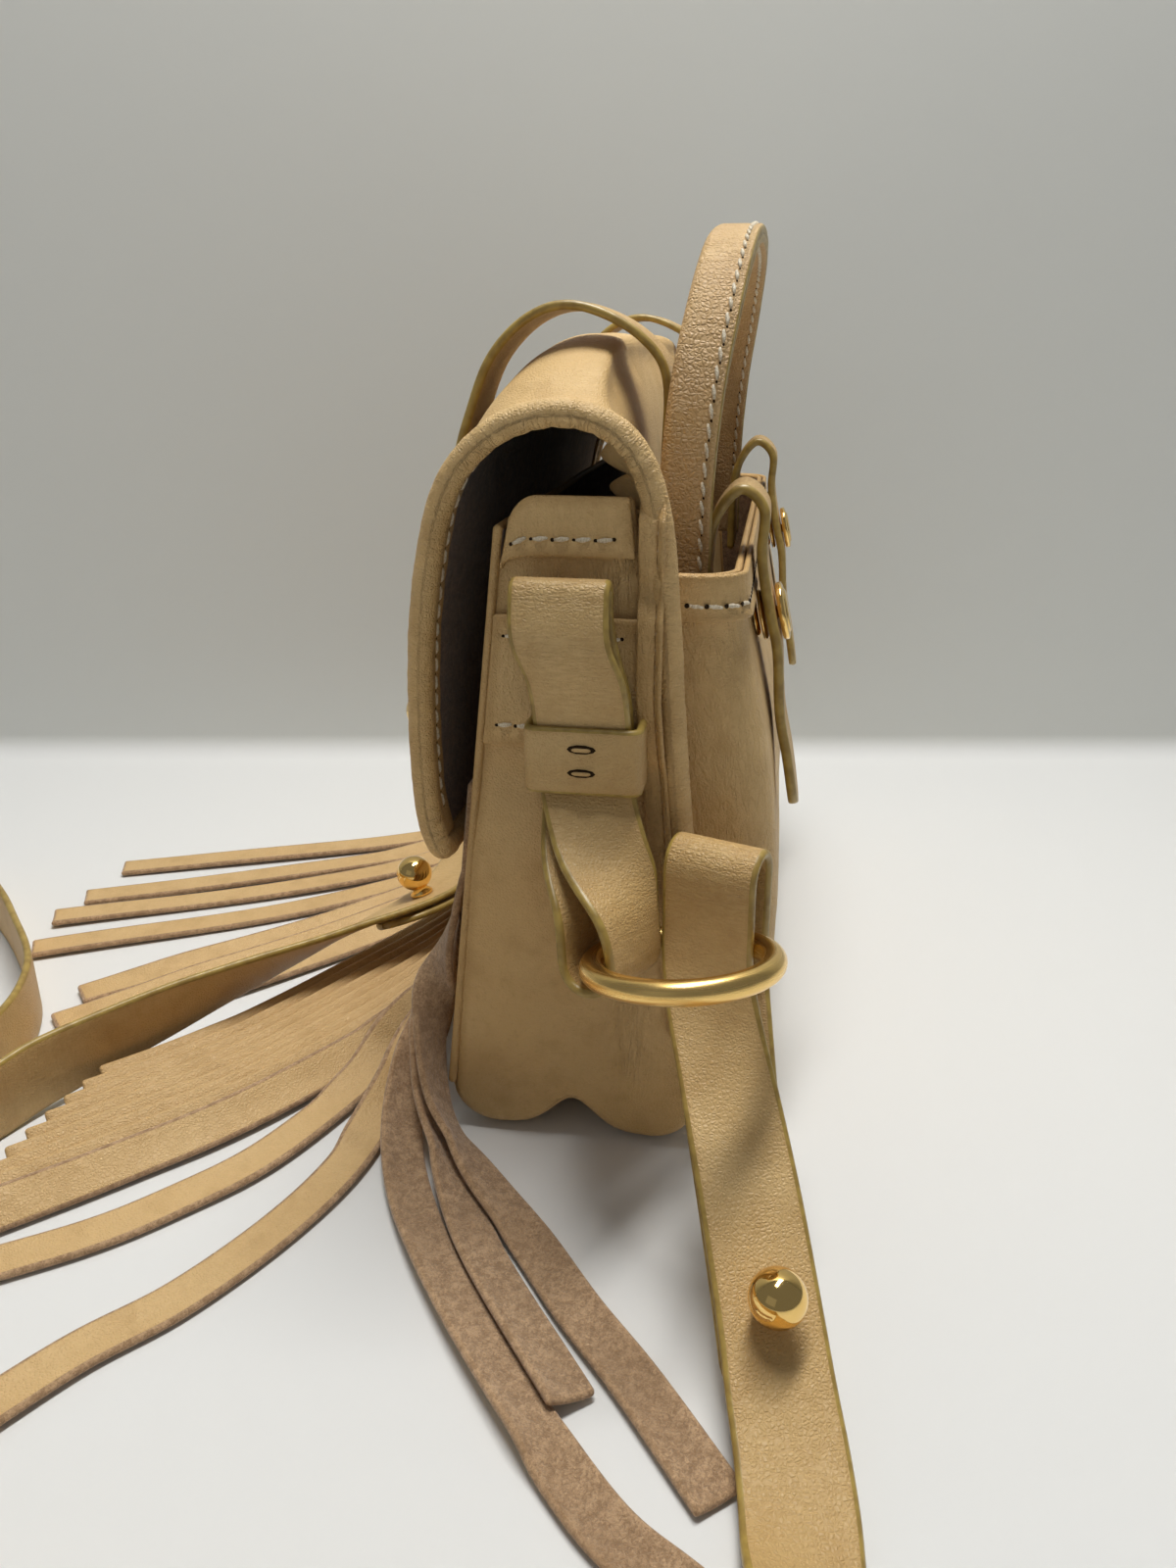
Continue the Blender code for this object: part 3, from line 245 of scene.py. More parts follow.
def smoothstep(x):
    """Runs from 0 to 1 with flat ends: 3x^2 - 2x^3."""
    x = np.clip(x, 0, 1)
    return x * x * (3 - 2 * x)


def running_length(line):
    """Distance along a line at each of its points."""
    return np.concatenate([[0], np.cumsum(np.linalg.norm(np.diff(line[:, :3], axis=0), axis=1))])


def resample(line, count):
    """The same line with evenly spaced points."""
    run = running_length(line)
    want = np.linspace(0, run[-1], count)
    return np.stack([np.interp(want, run, line[:, k]) for k in range(line.shape[1])], axis=1)


def smooth_line(points, count):
    """Catmull-Rom curve through the points, sampled evenly by its running length."""
    pts = np.array(points, float)
    ends = np.vstack([2 * pts[0] - pts[1], pts, 2 * pts[-1] - pts[-2]])
    t = np.linspace(0, 1, 24, endpoint=False)[None, :, None]
    a, b, c, d = (ends[k:len(ends) - 3 + k, None] for k in range(4))
    curve = 0.5 * (2 * b + (c - a) * t + (2 * a - 5 * b + 4 * c - d) * t ** 2 + (3 * b - a - 3 * c + d) * t ** 3)
    return resample(np.vstack([curve.reshape(-1, pts.shape[1]), pts[-1:]]), count)


def relaxed(line, passes):
    """The line with small kinks smoothed out: each inner point moves half way to the middle of its neighbours."""
    line = line.copy()
    for _ in range(passes):
        line[1:-1] = line[1:-1] * 0.5 + (line[:-2] + line[2:]) * 0.25
    return line


def ripple(u, v, seed, size):
    """Soft waves between about -1 and 1: eight plane waves of mixed directions with lengths near the size."""
    rng = np.random.default_rng(seed)
    angle, phase, stretch = rng.uniform(0, pi, 8), rng.uniform(0, 2 * pi, 8), rng.uniform(0.6, 1.7, 8)
    u, v = np.broadcast_arrays(u, v)
    wave = u[..., None] * np.cos(angle) + v[..., None] * np.sin(angle)
    return np.sin(2 * pi * wave / (size * stretch) + phase).sum(axis=-1) / 4


def grid_quads(rows, cols, wrap=False):
    """Corner numbers of the faces of a grid, facing along x across; wrap closes it across its columns."""
    index = np.arange(rows * cols).reshape(rows, cols)
    right = np.roll(index, -1, axis=1) if wrap else index[:, 1:]
    left = index if wrap else index[:, :-1]
    return np.stack([left[:-1], left[1:], right[1:], right[:-1]], axis=-1).reshape(-1, 4)


def make_object(name, points, quads, finishes, face_finish=None, uv=None, marks=None, weld=False):
    """A smooth mesh object from points and faces, with its finishes, its UV map and numbers kept on its points."""
    mesh = bpy.data.meshes.new(name)
    mesh.vertices.add(len(points))
    mesh.vertices.foreach_set("co", np.ascontiguousarray(points, float).ravel())
    mesh.loops.add(quads.size)
    mesh.loops.foreach_set("vertex_index", quads.ravel())
    mesh.polygons.add(len(quads))
    mesh.polygons.foreach_set("loop_start", np.arange(0, quads.size, 4))
    mesh.update(calc_edges=True)
    if face_finish is not None:
        mesh.polygons.foreach_set("material_index", face_finish.astype(np.int32))
    mesh.polygons.foreach_set("use_smooth", np.ones(len(quads), bool))
    if uv is not None:
        layer = mesh.uv_layers.new(name="UVMap")
        layer.data.foreach_set("uv", np.ascontiguousarray(uv[quads.ravel()], float).ravel())
    plain = {"rim": np.full(len(points), FAR_FROM_RIM), "crease_and_shade": np.zeros(len(points))}
    for label, values in {**plain, **(marks or {})}.items():
        mesh.attributes.new(label, "FLOAT", "POINT").data.foreach_set("value", np.ascontiguousarray(values, float))
    for finish in finishes:
        mesh.materials.append(finish)
    if weld:
        form = bmesh.new()
        form.from_mesh(mesh)
        bmesh.ops.remove_doubles(form, verts=form.verts, dist=WELD)
        bmesh.ops.recalc_face_normals(form, faces=form.faces)
        form.to_mesh(mesh)
        form.free()
    obj = bpy.data.objects.new(name, mesh)
    bpy.context.scene.collection.objects.link(obj)
    return obj


def joined(parts):
    """Several pieces of a mesh as one: points, faces, face finishes, UVs and marks, one after the other."""
    counts = np.cumsum([0] + [len(part["points"]) for part in parts[:-1]])
    out = {key: np.concatenate([part[key] for part in parts]) for key in ("points", "face_finish", "uv")}
    out["quads"] = np.concatenate([part["quads"] + first for part, first in zip(parts, counts)])
    out["marks"] = {key: np.concatenate([part["marks"][key] for part in parts]) for key in parts[0]["marks"]}
    return out


def settle(obj, nodes=(), body="bag"):
    """Lets a piece ride on its body and stand for its nodes, which it hides."""
    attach(obj, body)
    if nodes:
        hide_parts(*nodes)
    return obj


EDGE_ANGLES = np.radians([54, 18, -18, -54])
END_ANGLES = np.radians([22, 45, 68, 86])


def shell_parts(middle, thick, flip=False, marks=None):
    """The mesh of a leather piece round the grid of its middle surface.

    Each row becomes a closed loop: the outer face at + half a thickness along the normal, a half-round edge, the
    inner face, and the other half-round edge. Both ends close with the same rounding.
    """
    marks = dict(marks or {})
    if flip:
        middle = middle[:, ::-1]
        marks = {key: values[:, ::-1] for key, values in marks.items()}
    rows, cols = middle.shape[:2]
    half = thick / 2
    along, across = unit(np.gradient(middle, axis=0)), unit(np.gradient(middle, axis=1))
    normal = unit(np.cross(along, across))
    right = across[:, -1:] * np.cos(EDGE_ANGLES)[:, None] + normal[:, -1:] * np.sin(EDGE_ANGLES)[:, None]
    left = -across[:, :1] * np.cos(EDGE_ANGLES)[::-1, None] - normal[:, :1] * np.sin(EDGE_ANGLES)[:, None]
    offset = np.concatenate([normal, right, -normal[:, ::-1], left], axis=1) * half
    tangent = loop_round(along)
    bend = END_ANGLES[:, None, None]
    core = loop_round(middle)
    start = core[0] - tangent[0] * half * np.sin(bend) + offset[0] * np.cos(bend)
    finish = core[-1] + tangent[-1] * half * np.sin(bend) + offset[-1] * np.cos(bend)
    points = np.concatenate([start[::-1], core + offset, finish])
    count = 2 * cols + 8
    quads = grid_quads(len(points), count, wrap=True)

    k = np.arange(cols - 1)
    mirror = 2 * cols + 3 - np.arange(cols)
    cap = np.concatenate([np.stack([k, k + 1, mirror[k + 1], mirror[k]], axis=1),
                          [[cols - 1, cols, cols + 3, cols + 4], [cols, cols + 1, cols + 2, cols + 3],
                           [2 * cols + 3, 2 * cols + 4, 2 * cols + 7, 0],
                           [2 * cols + 4, 2 * cols + 5, 2 * cols + 6, 2 * cols + 7]]])
    quads = np.concatenate([quads, cap, cap[:, ::-1] + (len(points) - 1) * count])

    which = np.full(count, 2)
    which[:cols - 1] = 0
    which[cols + 4:2 * cols + 3] = 1
    face_finish = np.tile(which, (len(points) - 1, 1))
    face_finish[:len(END_ANGLES)] = 2
    face_finish[-len(END_ANGLES):] = 2
    face_finish = np.concatenate([face_finish.ravel(), np.full(2 * len(cap), 2)])

    step = np.linalg.norm(np.diff(middle, axis=1), axis=2)
    out = np.concatenate([np.zeros((rows, 1)), np.cumsum(step, axis=1)], axis=1)
    width = out[:, -1:]
    run = running_length(middle[:, cols // 2])[:, None]
    border = np.minimum(width / 2 - np.abs(out - width / 2), np.minimum(run, run[-1] - run))
    across_edge = np.repeat([[-half, half]], rows, axis=0)
    u = np.concatenate([out, np.repeat(width + across_edge[:, 1:], 4, axis=1), out[:, ::-1],
                        np.repeat(across_edge[:, :1], 4, axis=1)], axis=1) - width / 2
    ends = len(END_ANGLES)
    stretch = [0] * ends + list(range(rows)) + [rows - 1] * ends
    v = np.broadcast_to(run, u.shape)
    uv = np.stack([u[stretch], v[stretch]], axis=-1).reshape(-1, 2)
    marks["rim"] = border
    marks = {key: loop_round(values)[stretch].ravel() for key, values in marks.items()}
    return {"points": points.reshape(-1, 3), "quads": quads, "face_finish": face_finish, "uv": uv, "marks": marks}


def loop_round(values):
    """Values of a grid carried round the loop of a shell: outer face, edge, inner face, edge."""
    return np.concatenate([values, np.repeat(values[:, -1:], 4, axis=1), values[:, ::-1],
                           np.repeat(values[:, :1], 4, axis=1)], axis=1)


def shell(name, middle, thick, finishes, flip=False, marks=None):
    """A leather piece of even thickness round the grid of its middle surface."""
    return make_object(name, finishes=finishes, **shell_parts(middle, thick, flip, marks))


def sweep(name, line, up, profile, finishes, face_finish=None, closed=False, marks=None):
    """A closed profile carried along a line: point = line + a * first + b * second, with b = t x up and a = b x t.

    The profile is one loop of pairs, or one loop for each point of the line.
    """
    along = np.gradient(line, axis=0)
    if closed:
        along = np.roll(line, -1, axis=0) - np.roll(line, 1, axis=0)
    along = unit(along)
    side = unit(np.cross(along, up))
    top = np.cross(side, along)
    profile = np.broadcast_to(profile, (len(line),) + np.shape(profile)[-2:])
    points = line[:, None] + top[:, None] * profile[..., :1] + side[:, None] * profile[..., 1:]
    count = profile.shape[1]
    quads = grid_quads(len(line), count, wrap=True)
    if closed:
        last = (len(line) - 1) * count
        k = np.arange(count)
        quads = np.concatenate([quads, np.stack([last + k, k, (k + 1) % count, last + (k + 1) % count], axis=1)])
    else:
        k = np.arange(count // 2 - 1)
        cap = np.stack([k, k + 1, count - 2 - k, count - 1 - k], axis=1)
        quads = np.concatenate([quads, cap, cap[:, ::-1] + (len(line) - 1) * count])
    loop = np.linalg.norm(np.diff(profile[0], axis=0, append=profile[0][:1]), axis=1)
    u = np.concatenate([[0], np.cumsum(loop)[:-1]])
    v = running_length(line)
    uv = np.stack(np.broadcast_arrays(u[None, :], v[:, None]), axis=-1).reshape(-1, 2)
    marks = {key: np.broadcast_to(values, points.shape[:2]).ravel() for key, values in (marks or {}).items()}
    return make_object(name, points.reshape(-1, 3), quads, finishes, face_finish, uv, marks)


def turned(name, profile, place, direction, finishes, steps=64):
    """A turned piece: pairs of radius and height, spun about an axis through its place."""
    axis = unit(np.array(direction, float))
    first = unit(np.cross(axis, [0.31, 0.17, 0.93]))
    second = np.cross(axis, first)
    angle = np.linspace(0, 2 * pi, steps, endpoint=False)
    ring = np.cos(angle)[:, None] * first + np.sin(angle)[:, None] * second
    radius, height = np.array(profile, float).T
    points = place + radius[:, None, None] * ring[None] + height[:, None, None] * axis
    uv = np.stack(np.broadcast_arrays(angle[None, :] / (2 * pi), radius[:, None]), axis=-1).reshape(-1, 2)
    return make_object(name, points.reshape(-1, 3), grid_quads(len(profile), steps, wrap=True), finishes, uv=uv,
                       weld=True)


def rounded(points, steps=6, share=0.3):
    """A profile with its corners softened: each inner corner becomes a small quadratic arc."""
    pts = np.array(points, float)
    t = np.linspace(0, 1, steps)[:, None]
    out = [pts[:1]]
    for before, corner, after in zip(pts[:-2], pts[1:-1], pts[2:]):
        a, b = corner + (before - corner) * share, corner + (after - corner) * share
        out.append(a * (1 - t) ** 2 + 2 * corner * t * (1 - t) + b * t ** 2)
    return np.vstack(out + [pts[-1:]])


def add_node(tree, kind, settings=None, **inputs):
    """A shader node with its settings; an input is given a number or colour, or is joined to another's output."""
    new = tree.nodes.new("ShaderNode" + kind)
    for key, value in (settings or {}).items():
        setattr(new, key, value)
    for key, value in inputs.items():
        feed(tree, new.inputs[key.replace("_", " ")], value)
    return new


def feed(tree, socket, value):
    """Joins an output to a socket, or sets the socket's own value."""
    if isinstance(value, bpy.types.NodeSocket):
        tree.links.new(value, socket)
    else:
        socket.default_value = value


def maths(tree, operation, *values, clamp=False):
    """The output of a Math node."""
    new = add_node(tree, "Math", {"operation": operation, "use_clamp": clamp})
    for socket, value in zip(new.inputs, values):
        feed(tree, socket, value)
    return new.outputs[0]


def ramp(tree, value, low, high, to_low=0.0, to_high=1.0):
    """A value that runs smoothly from to_low to to_high as the input goes from low to high."""
    new = add_node(tree, "MapRange", {"interpolation_type": "SMOOTHSTEP"}, Value=value, From_Min=low, From_Max=high,
                   To_Min=to_low, To_Max=to_high)
    return new.outputs["Result"]


def blend_colors(tree, share, first, second, way="MIX"):
    """The output of a Mix node on two colours."""
    new = add_node(tree, "Mix", {"data_type": "RGBA", "blend_type": way})
    feed(tree, new.inputs[0], share)
    feed(tree, new.inputs[6], first)
    feed(tree, new.inputs[7], second)
    return new.outputs[2]


def stretched(tree, vector, across, along):
    """A UV vector scaled by two numbers, for a pattern longer in one direction."""
    new = add_node(tree, "VectorMath", {"operation": "MULTIPLY"})
    feed(tree, new.inputs[0], vector)
    feed(tree, new.inputs[1], (across, along, 1.0))
    return new.outputs[0]


def new_group(name, inputs, outputs):
    """An empty shader node group with named inputs and outputs, and its own input and output nodes."""
    tree = bpy.data.node_groups.new(name, "ShaderNodeTree")
    kinds = {"vector": "NodeSocketVector", "value": "NodeSocketFloat", "color": "NodeSocketColor"}
    for label, kind, start in inputs:
        socket = tree.interface.new_socket(label, in_out="INPUT", socket_type=kinds[kind])
        if start is not None:
            socket.default_value = start
    for label, kind in outputs:
        tree.interface.new_socket(label, in_out="OUTPUT", socket_type=kinds[kind])
    return tree, tree.nodes.new("NodeGroupInput").outputs, tree.nodes.new("NodeGroupOutput").inputs


def use_group(tree, group, **inputs):
    """Places a node group in a tree and returns its outputs."""
    new = tree.nodes.new("ShaderNodeGroup")
    new.node_tree = group
    for key, value in inputs.items():
        feed(tree, new.inputs[key.replace("_", " ")], value)
    return new.outputs


def make_grain_group():
    """Leather grain: small rounded cells, broken up by finer noise, as a height from 0 to 1."""
    tree, given, out = new_group("leather_grain", [("Vector", "vector", None), ("Cells per Metre", "value", 1200.0)],
                                 [("Height", "value"), ("Pores", "value")])
    bent = add_node(tree, "TexNoise", None, Vector=given["Vector"], Scale=260.0, Detail=1.0)
    shift = add_node(tree, "VectorMath", {"operation": "MULTIPLY_ADD"})
    feed(tree, shift.inputs[0], bent.outputs["Color"])
    feed(tree, shift.inputs[1], (0.0012, 0.0012, 0.0012))
    feed(tree, shift.inputs[2], given["Vector"])
    cells = add_node(tree, "TexVoronoi", {"feature": "DISTANCE_TO_EDGE"}, Vector=shift.outputs[0],
                     Scale=given["Cells per Metre"])
    fine = add_node(tree, "TexNoise", None, Vector=given["Vector"], Scale=2600.0, Detail=2.0)
    bump = ramp(tree, cells.outputs["Distance"], 0.0, 0.32)
    feed(tree, out["Height"], maths(tree, "MULTIPLY_ADD", fine.outputs["Fac"], 0.35, bump))
    feed(tree, out["Pores"], ramp(tree, cells.outputs["Distance"], 0.0, 0.12, 1.0, 0.0))
    return tree


def make_crease_group():
    """Fine creases that run across a piece: ridged noise, stretched by the vector it is given. Its mask also sets where
    the leather's colour is darkened as painted shade in the creases.
    """
    tree, given, out = new_group("leather_creases", [("Vector", "vector", None), ("Width", "value", 0.09)],
                                 [("Height", "value"), ("Mask", "value")])
    waves = add_node(tree, "TexNoise", None, Vector=given["Vector"], Scale=1.0, Detail=3.0, Roughness=0.55,
                     Distortion=0.6)
    ridge = maths(tree, "ABSOLUTE", maths(tree, "SUBTRACT", waves.outputs["Fac"], 0.5))
    mask = ramp(tree, maths(tree, "DIVIDE", ridge, given["Width"]), 0.0, 1.0, 1.0, 0.0)
    feed(tree, out["Mask"], mask)
    feed(tree, out["Height"], maths(tree, "SUBTRACT", 1.0, mask))
    return tree


def make_blotch_group():
    """Uneven colour of vegetable-tanned leather: soft clouds, darker patches and small specks."""
    tree, given, out = new_group("leather_tone", [("Vector", "vector", None), ("Base", "color", None),
                                                  ("Dark", "color", None), ("Light", "color", None)],
                                 [("Color", "color")])
    cloud = add_node(tree, "TexNoise", None, Vector=given["Vector"], Scale=22.0, Detail=4.0, Roughness=0.6)
    patch = add_node(tree, "TexNoise", None, Vector=given["Vector"], Scale=95.0, Detail=3.0, Roughness=0.6)
    speck = add_node(tree, "TexNoise", None, Vector=given["Vector"], Scale=900.0, Detail=2.0)
    color = blend_colors(tree, ramp(tree, cloud.outputs["Fac"], 0.35, 0.70, 0.0, 0.75), given["Base"], given["Light"])
    color = blend_colors(tree, ramp(tree, patch.outputs["Fac"], 0.45, 0.75, 0.0, 0.45), color, given["Dark"])
    color = blend_colors(tree, ramp(tree, speck.outputs["Fac"], 0.55, 0.80, 0.0, 0.30), color, given["Dark"])
    feed(tree, out["Color"], color)
    return tree


def make_wear_group():
    """Handling marks: a mask that is strong at a piece's border and breaks up away from it."""
    tree, given, out = new_group("edge_wear", [("Vector", "vector", None), ("Rim", "value", 1.0),
                                               ("Reach", "value", 0.0025)], [("Mask", "value")])
    broken = add_node(tree, "TexNoise", None, Vector=given["Vector"], Scale=420.0, Detail=3.0)
    reach = maths(tree, "MULTIPLY", given["Reach"], maths(tree, "ADD", broken.outputs["Fac"], 0.35))
    share = maths(tree, "DIVIDE", given["Rim"], reach)
    feed(tree, out["Mask"], ramp(tree, share, 0.0, 1.0, 1.0, 0.0))
    return tree


def make_nap_group():
    """Fibrous flesh side: short fibres in two sizes, as a height and as a tone from 0 to 1."""
    tree, given, out = new_group("suede_nap", [("Vector", "vector", None)], [("Height", "value"), ("Tone", "value")])
    fibre = add_node(tree, "TexNoise", None, Vector=given["Vector"], Scale=1700.0, Detail=3.0, Roughness=0.8,
                     Distortion=0.8)
    tuft = add_node(tree, "TexNoise", None, Vector=given["Vector"], Scale=420.0, Detail=3.0, Roughness=0.65)
    feed(tree, out["Height"], maths(tree, "MULTIPLY_ADD", fibre.outputs["Fac"], 0.6, tuft.outputs["Fac"]))
    mixed = maths(tree, "MULTIPLY_ADD", tuft.outputs["Fac"], 0.4, maths(tree, "MULTIPLY", fibre.outputs["Fac"], 0.6))
    feed(tree, out["Tone"], ramp(tree, mixed, 0.40, 0.62))
    return tree


def make_brush_group():
    """Brushed metal: fine lines along one direction of the UV, as a height and an uneven gloss."""
    tree, given, out = new_group("brushed_metal", [("Vector", "vector", None)], [("Height", "value"),
                                                                               ("Gloss", "value")])
    lines = add_node(tree, "TexNoise", None, Vector=given["Vector"], Scale=1.0, Detail=3.0)
    smear = add_node(tree, "TexNoise", None, Vector=given["Vector"], Scale=0.07, Detail=3.0)
    feed(tree, out["Height"], lines.outputs["Fac"])
    feed(tree, out["Gloss"], maths(tree, "MULTIPLY_ADD", smear.outputs["Fac"], 0.6,
                                   maths(tree, "MULTIPLY", lines.outputs["Fac"], 0.4)))
    return tree


def new_finish(name, metallic=0.0, **fixed):
    """A material with its Principled shader, and the values that are the same all over it."""
    material = bpy.data.materials.new(name)
    material.use_nodes = True
    tree = material.node_tree
    shader = tree.nodes["Principled BSDF"]
    shader.inputs["Metallic"].default_value = metallic
    for key, value in fixed.items():
        shader.inputs[key.replace("_", " ")].default_value = value
    coordinates = add_node(tree, "TexCoord").outputs
    return material, tree, shader, coordinates


def raise_bump(tree, shader, *heights):
    """Bump nodes one on another: pairs of a height and its depth in metres."""
    normal = None
    for height, depth in heights:
        bump = add_node(tree, "Bump", None, Height=height, Distance=depth, Strength=1.0)
        if normal is not None:
            feed(tree, bump.inputs["Normal"], normal)
        normal = bump.outputs["Normal"]
    feed(tree, shader.inputs["Normal"], normal)


def grain_leather(name, base, dark, light, cells=1300.0, grain=0.00010, creases=(90.0, 620.0), crease_depth=0.00022,
                  rough=0.50, wear=0.5, reach=0.0028):
    """Grain side of the leather: tone, grain, fine creases along the UV whose lines are darkened as painted shade, and
    a burnished border.
    """
    material, tree, shader, given = new_finish(name, Sheen_Weight=0.03, Sheen_Roughness=0.4)
    tone = use_group(tree, TONE, Vector=given["Object"], Base=(*base, 1), Dark=(*dark, 1), Light=(*light, 1))
    cells_out = use_group(tree, GRAIN, Vector=given["Object"], Cells_per_Metre=cells)
    lines = use_group(tree, CREASES, Vector=stretched(tree, given["UV"], *creases), Width=0.10)
    crease_and_shade_amount = add_node(tree, "Attribute", {"attribute_name": "crease_and_shade"}).outputs["Fac"]
    rim = add_node(tree, "Attribute", {"attribute_name": "rim"}).outputs["Fac"]
    worn = use_group(tree, WEAR, Vector=given["Object"], Rim=rim, Reach=reach)["Mask"]
    crease_shade_and_bump = maths(tree, "MULTIPLY", lines["Mask"], maths(tree, "ADD", crease_and_shade_amount, 0.02))
    # Painted shade: the colour darkens towards the dark tone along the crease lines, more where the crease mark is
    # higher.
    color = blend_colors(tree, maths(tree, "MULTIPLY", crease_shade_and_bump, 0.55), tone["Color"], (*dark, 1))
    color = blend_colors(tree, maths(tree, "MULTIPLY", worn, wear), color, (*dark, 1))
    feed(tree, shader.inputs["Base Color"], color)
    feed(tree, shader.inputs["Roughness"], maths(tree, "MULTIPLY_ADD", cells_out["Pores"], 0.12, rough))
    depth = maths(tree, "MULTIPLY", maths(tree, "SUBTRACT", 1.0, crease_shade_and_bump), 1.0)
    raise_bump(tree, shader, (cells_out["Height"], grain), (depth, crease_depth))
    return material


def painted_edge(name, base, dark):
    """Painted edge: smooth, a little glossier, with faint ripples along it."""
    material, tree, shader, given = new_finish(name, Coat_Weight=0.15, Coat_Roughness=0.3)
    waves = add_node(tree, "TexNoise", None, Vector=given["Object"], Scale=330.0, Detail=3.0)
    feed(tree, shader.inputs["Base Color"],
         blend_colors(tree, ramp(tree, waves.outputs["Fac"], 0.35, 0.7), (*base, 1), (*dark, 1)))
    feed(tree, shader.inputs["Roughness"], ramp(tree, waves.outputs["Fac"], 0.3, 0.7, 0.36, 0.48))
    raise_bump(tree, shader, (waves.outputs["Fac"], 0.00018))
    return material


def flesh_leather(name, light, dark, depth=0.00045):
    """Flesh side or cut edge of the leather: fibrous, with light and dark fibres."""
    material, tree, shader, given = new_finish(name, Sheen_Weight=0.35, Sheen_Roughness=0.5, Specular_IOR_Level=0.2)
    nap = use_group(tree, NAP, Vector=given["Object"])
    cloud = add_node(tree, "TexNoise", None, Vector=given["Object"], Scale=60.0, Detail=3.0)
    color = blend_colors(tree, nap["Tone"], (*dark, 1), (*light, 1))
    color = blend_colors(tree, ramp(tree, cloud.outputs["Fac"], 0.4, 0.75, 0.0, 0.35), color, (*dark, 1))
    feed(tree, shader.inputs["Base Color"], color)
    shader.inputs["Roughness"].default_value = 0.95
    raise_bump(tree, shader, (nap["Height"], depth))
    return material


def gold_finish(name, rough_low, rough_high, line_scale, depth):
    """Gold-coloured metal with fine brushing along the UV."""
    material, tree, shader, given = new_finish(name, metallic=1.0)
    brushed = use_group(tree, BRUSH, Vector=stretched(tree, given["UV"], *line_scale))
    feed(tree, shader.inputs["Base Color"], blend_colors(tree, brushed["Gloss"], (*GOLD_DEEP, 1), (*GOLD_PALE, 1)))
    feed(tree, shader.inputs["Roughness"], ramp(tree, brushed["Gloss"], 0.3, 0.7, rough_low, rough_high))
    raise_bump(tree, shader, (brushed["Height"], depth))
    return material


def thread_finish():
    """Waxed cream thread of two plies, darker in the twist as painted shade, with some darker soil."""
    material, tree, shader, given = new_finish("cream_thread", Sheen_Weight=0.2)
    strands_and_twist_shade = add_node(tree, "TexNoise", None, Vector=stretched(tree, given["UV"], 9.0, 9.0), Scale=1.0, Detail=2.0)
    soiled = add_node(tree, "TexNoise", None, Vector=given["Object"], Scale=300.0, Detail=2.0)
    # Painted shade: the noise darkens the thread towards a deep tone, standing for shade in the twist.
    color = blend_colors(tree, ramp(tree, strands_and_twist_shade.outputs["Fac"], 0.35, 0.65), (0.52, 0.43, 0.29, 1),
                         (0.86, 0.79, 0.63, 1))
    color = blend_colors(tree, ramp(tree, soiled.outputs["Fac"], 0.5, 0.8, 0.0, 0.5), color, (0.45, 0.33, 0.18, 1))
    feed(tree, shader.inputs["Base Color"], color)
    shader.inputs["Roughness"].default_value = 0.62
    raise_bump(tree, shader, (strands_and_twist_shade.outputs["Fac"], 0.00006))
    return material


def hole_shade_finish():
    """Painted shade for a needle hole, slit or punched hole: near-black with faint fibre noise."""
    material, tree, shader, given = new_finish("painted_hole_shade", Specular_IOR_Level=0.1)
    fibres = add_node(tree, "TexNoise", None, Vector=given["Object"], Scale=1500.0, Detail=2.0)
    feed(tree, shader.inputs["Base Color"],
         blend_colors(tree, fibres.outputs["Fac"], (0.012, 0.007, 0.003, 1), (0.05, 0.03, 0.014, 1)))
    shader.inputs["Roughness"].default_value = 1.0
    return material


def stage_finish(name, near, far, start, end, height_low=0.0, height_high=1.0, low_color=None):
    """Matt paper, clear from behind: its tone runs softly from a near one to a far one along the camera's way."""
    material, tree, shader, given = new_finish(name, Specular_IOR_Level=0.1)
    apart = add_node(tree, "SeparateXYZ", None, Vector=given["Object"])
    way = maths(tree, "MULTIPLY_ADD", apart.outputs["X"], start[0], maths(tree, "MULTIPLY", apart.outputs["Y"],
                                                                        start[1]))
    color = blend_colors(tree, ramp(tree, way, end[0], end[1]), (*near, 1), (*far, 1))
    if low_color:
        color = blend_colors(tree, ramp(tree, apart.outputs["Z"], height_low, height_high), (*low_color, 1), color)
    feed(tree, shader.inputs["Base Color"], color)
    shader.inputs["Roughness"].default_value = 0.9
    one_sided = add_node(tree, "MixShader")
    feed(tree, one_sided.inputs[0], add_node(tree, "NewGeometry").outputs["Backfacing"])
    feed(tree, one_sided.inputs[1], shader.outputs["BSDF"])
    feed(tree, one_sided.inputs[2], add_node(tree, "BsdfTransparent").outputs["BSDF"])
    feed(tree, tree.nodes["Material Output"].inputs["Surface"], one_sided.outputs["Shader"])
    return material


# Colours, as linear red, green and blue
TAN = (0.65, 0.430, 0.180)
TAN_DARK = (0.46, 0.275, 0.095)
TAN_LIGHT = (0.70, 0.490, 0.225)
STRAP_TAN = (0.56, 0.368, 0.147)
HANDLE_TAN = (0.55, 0.355, 0.165)
STRIP_TAN = (0.64, 0.425, 0.190)
STRIP_DARK = (0.48, 0.295, 0.115)
STRIP_LIGHT = (0.69, 0.475, 0.225)
EDGE_OLIVE = (0.42, 0.290, 0.070)
EDGE_DEEP = (0.30, 0.195, 0.045)
SUEDE = (0.58, 0.385, 0.225)
SUEDE_DARK = (0.31, 0.190, 0.100)
LINING = (0.34, 0.21, 0.115)
LINING_DARK = (0.14, 0.080, 0.040)
GOLD_PALE = (0.95, 0.68, 0.28)
GOLD_DEEP = (0.86, 0.56, 0.17)

GRAIN = make_grain_group()
CREASES = make_crease_group()
TONE = make_blotch_group()
WEAR = make_wear_group()
NAP = make_nap_group()
BRUSH = make_brush_group()

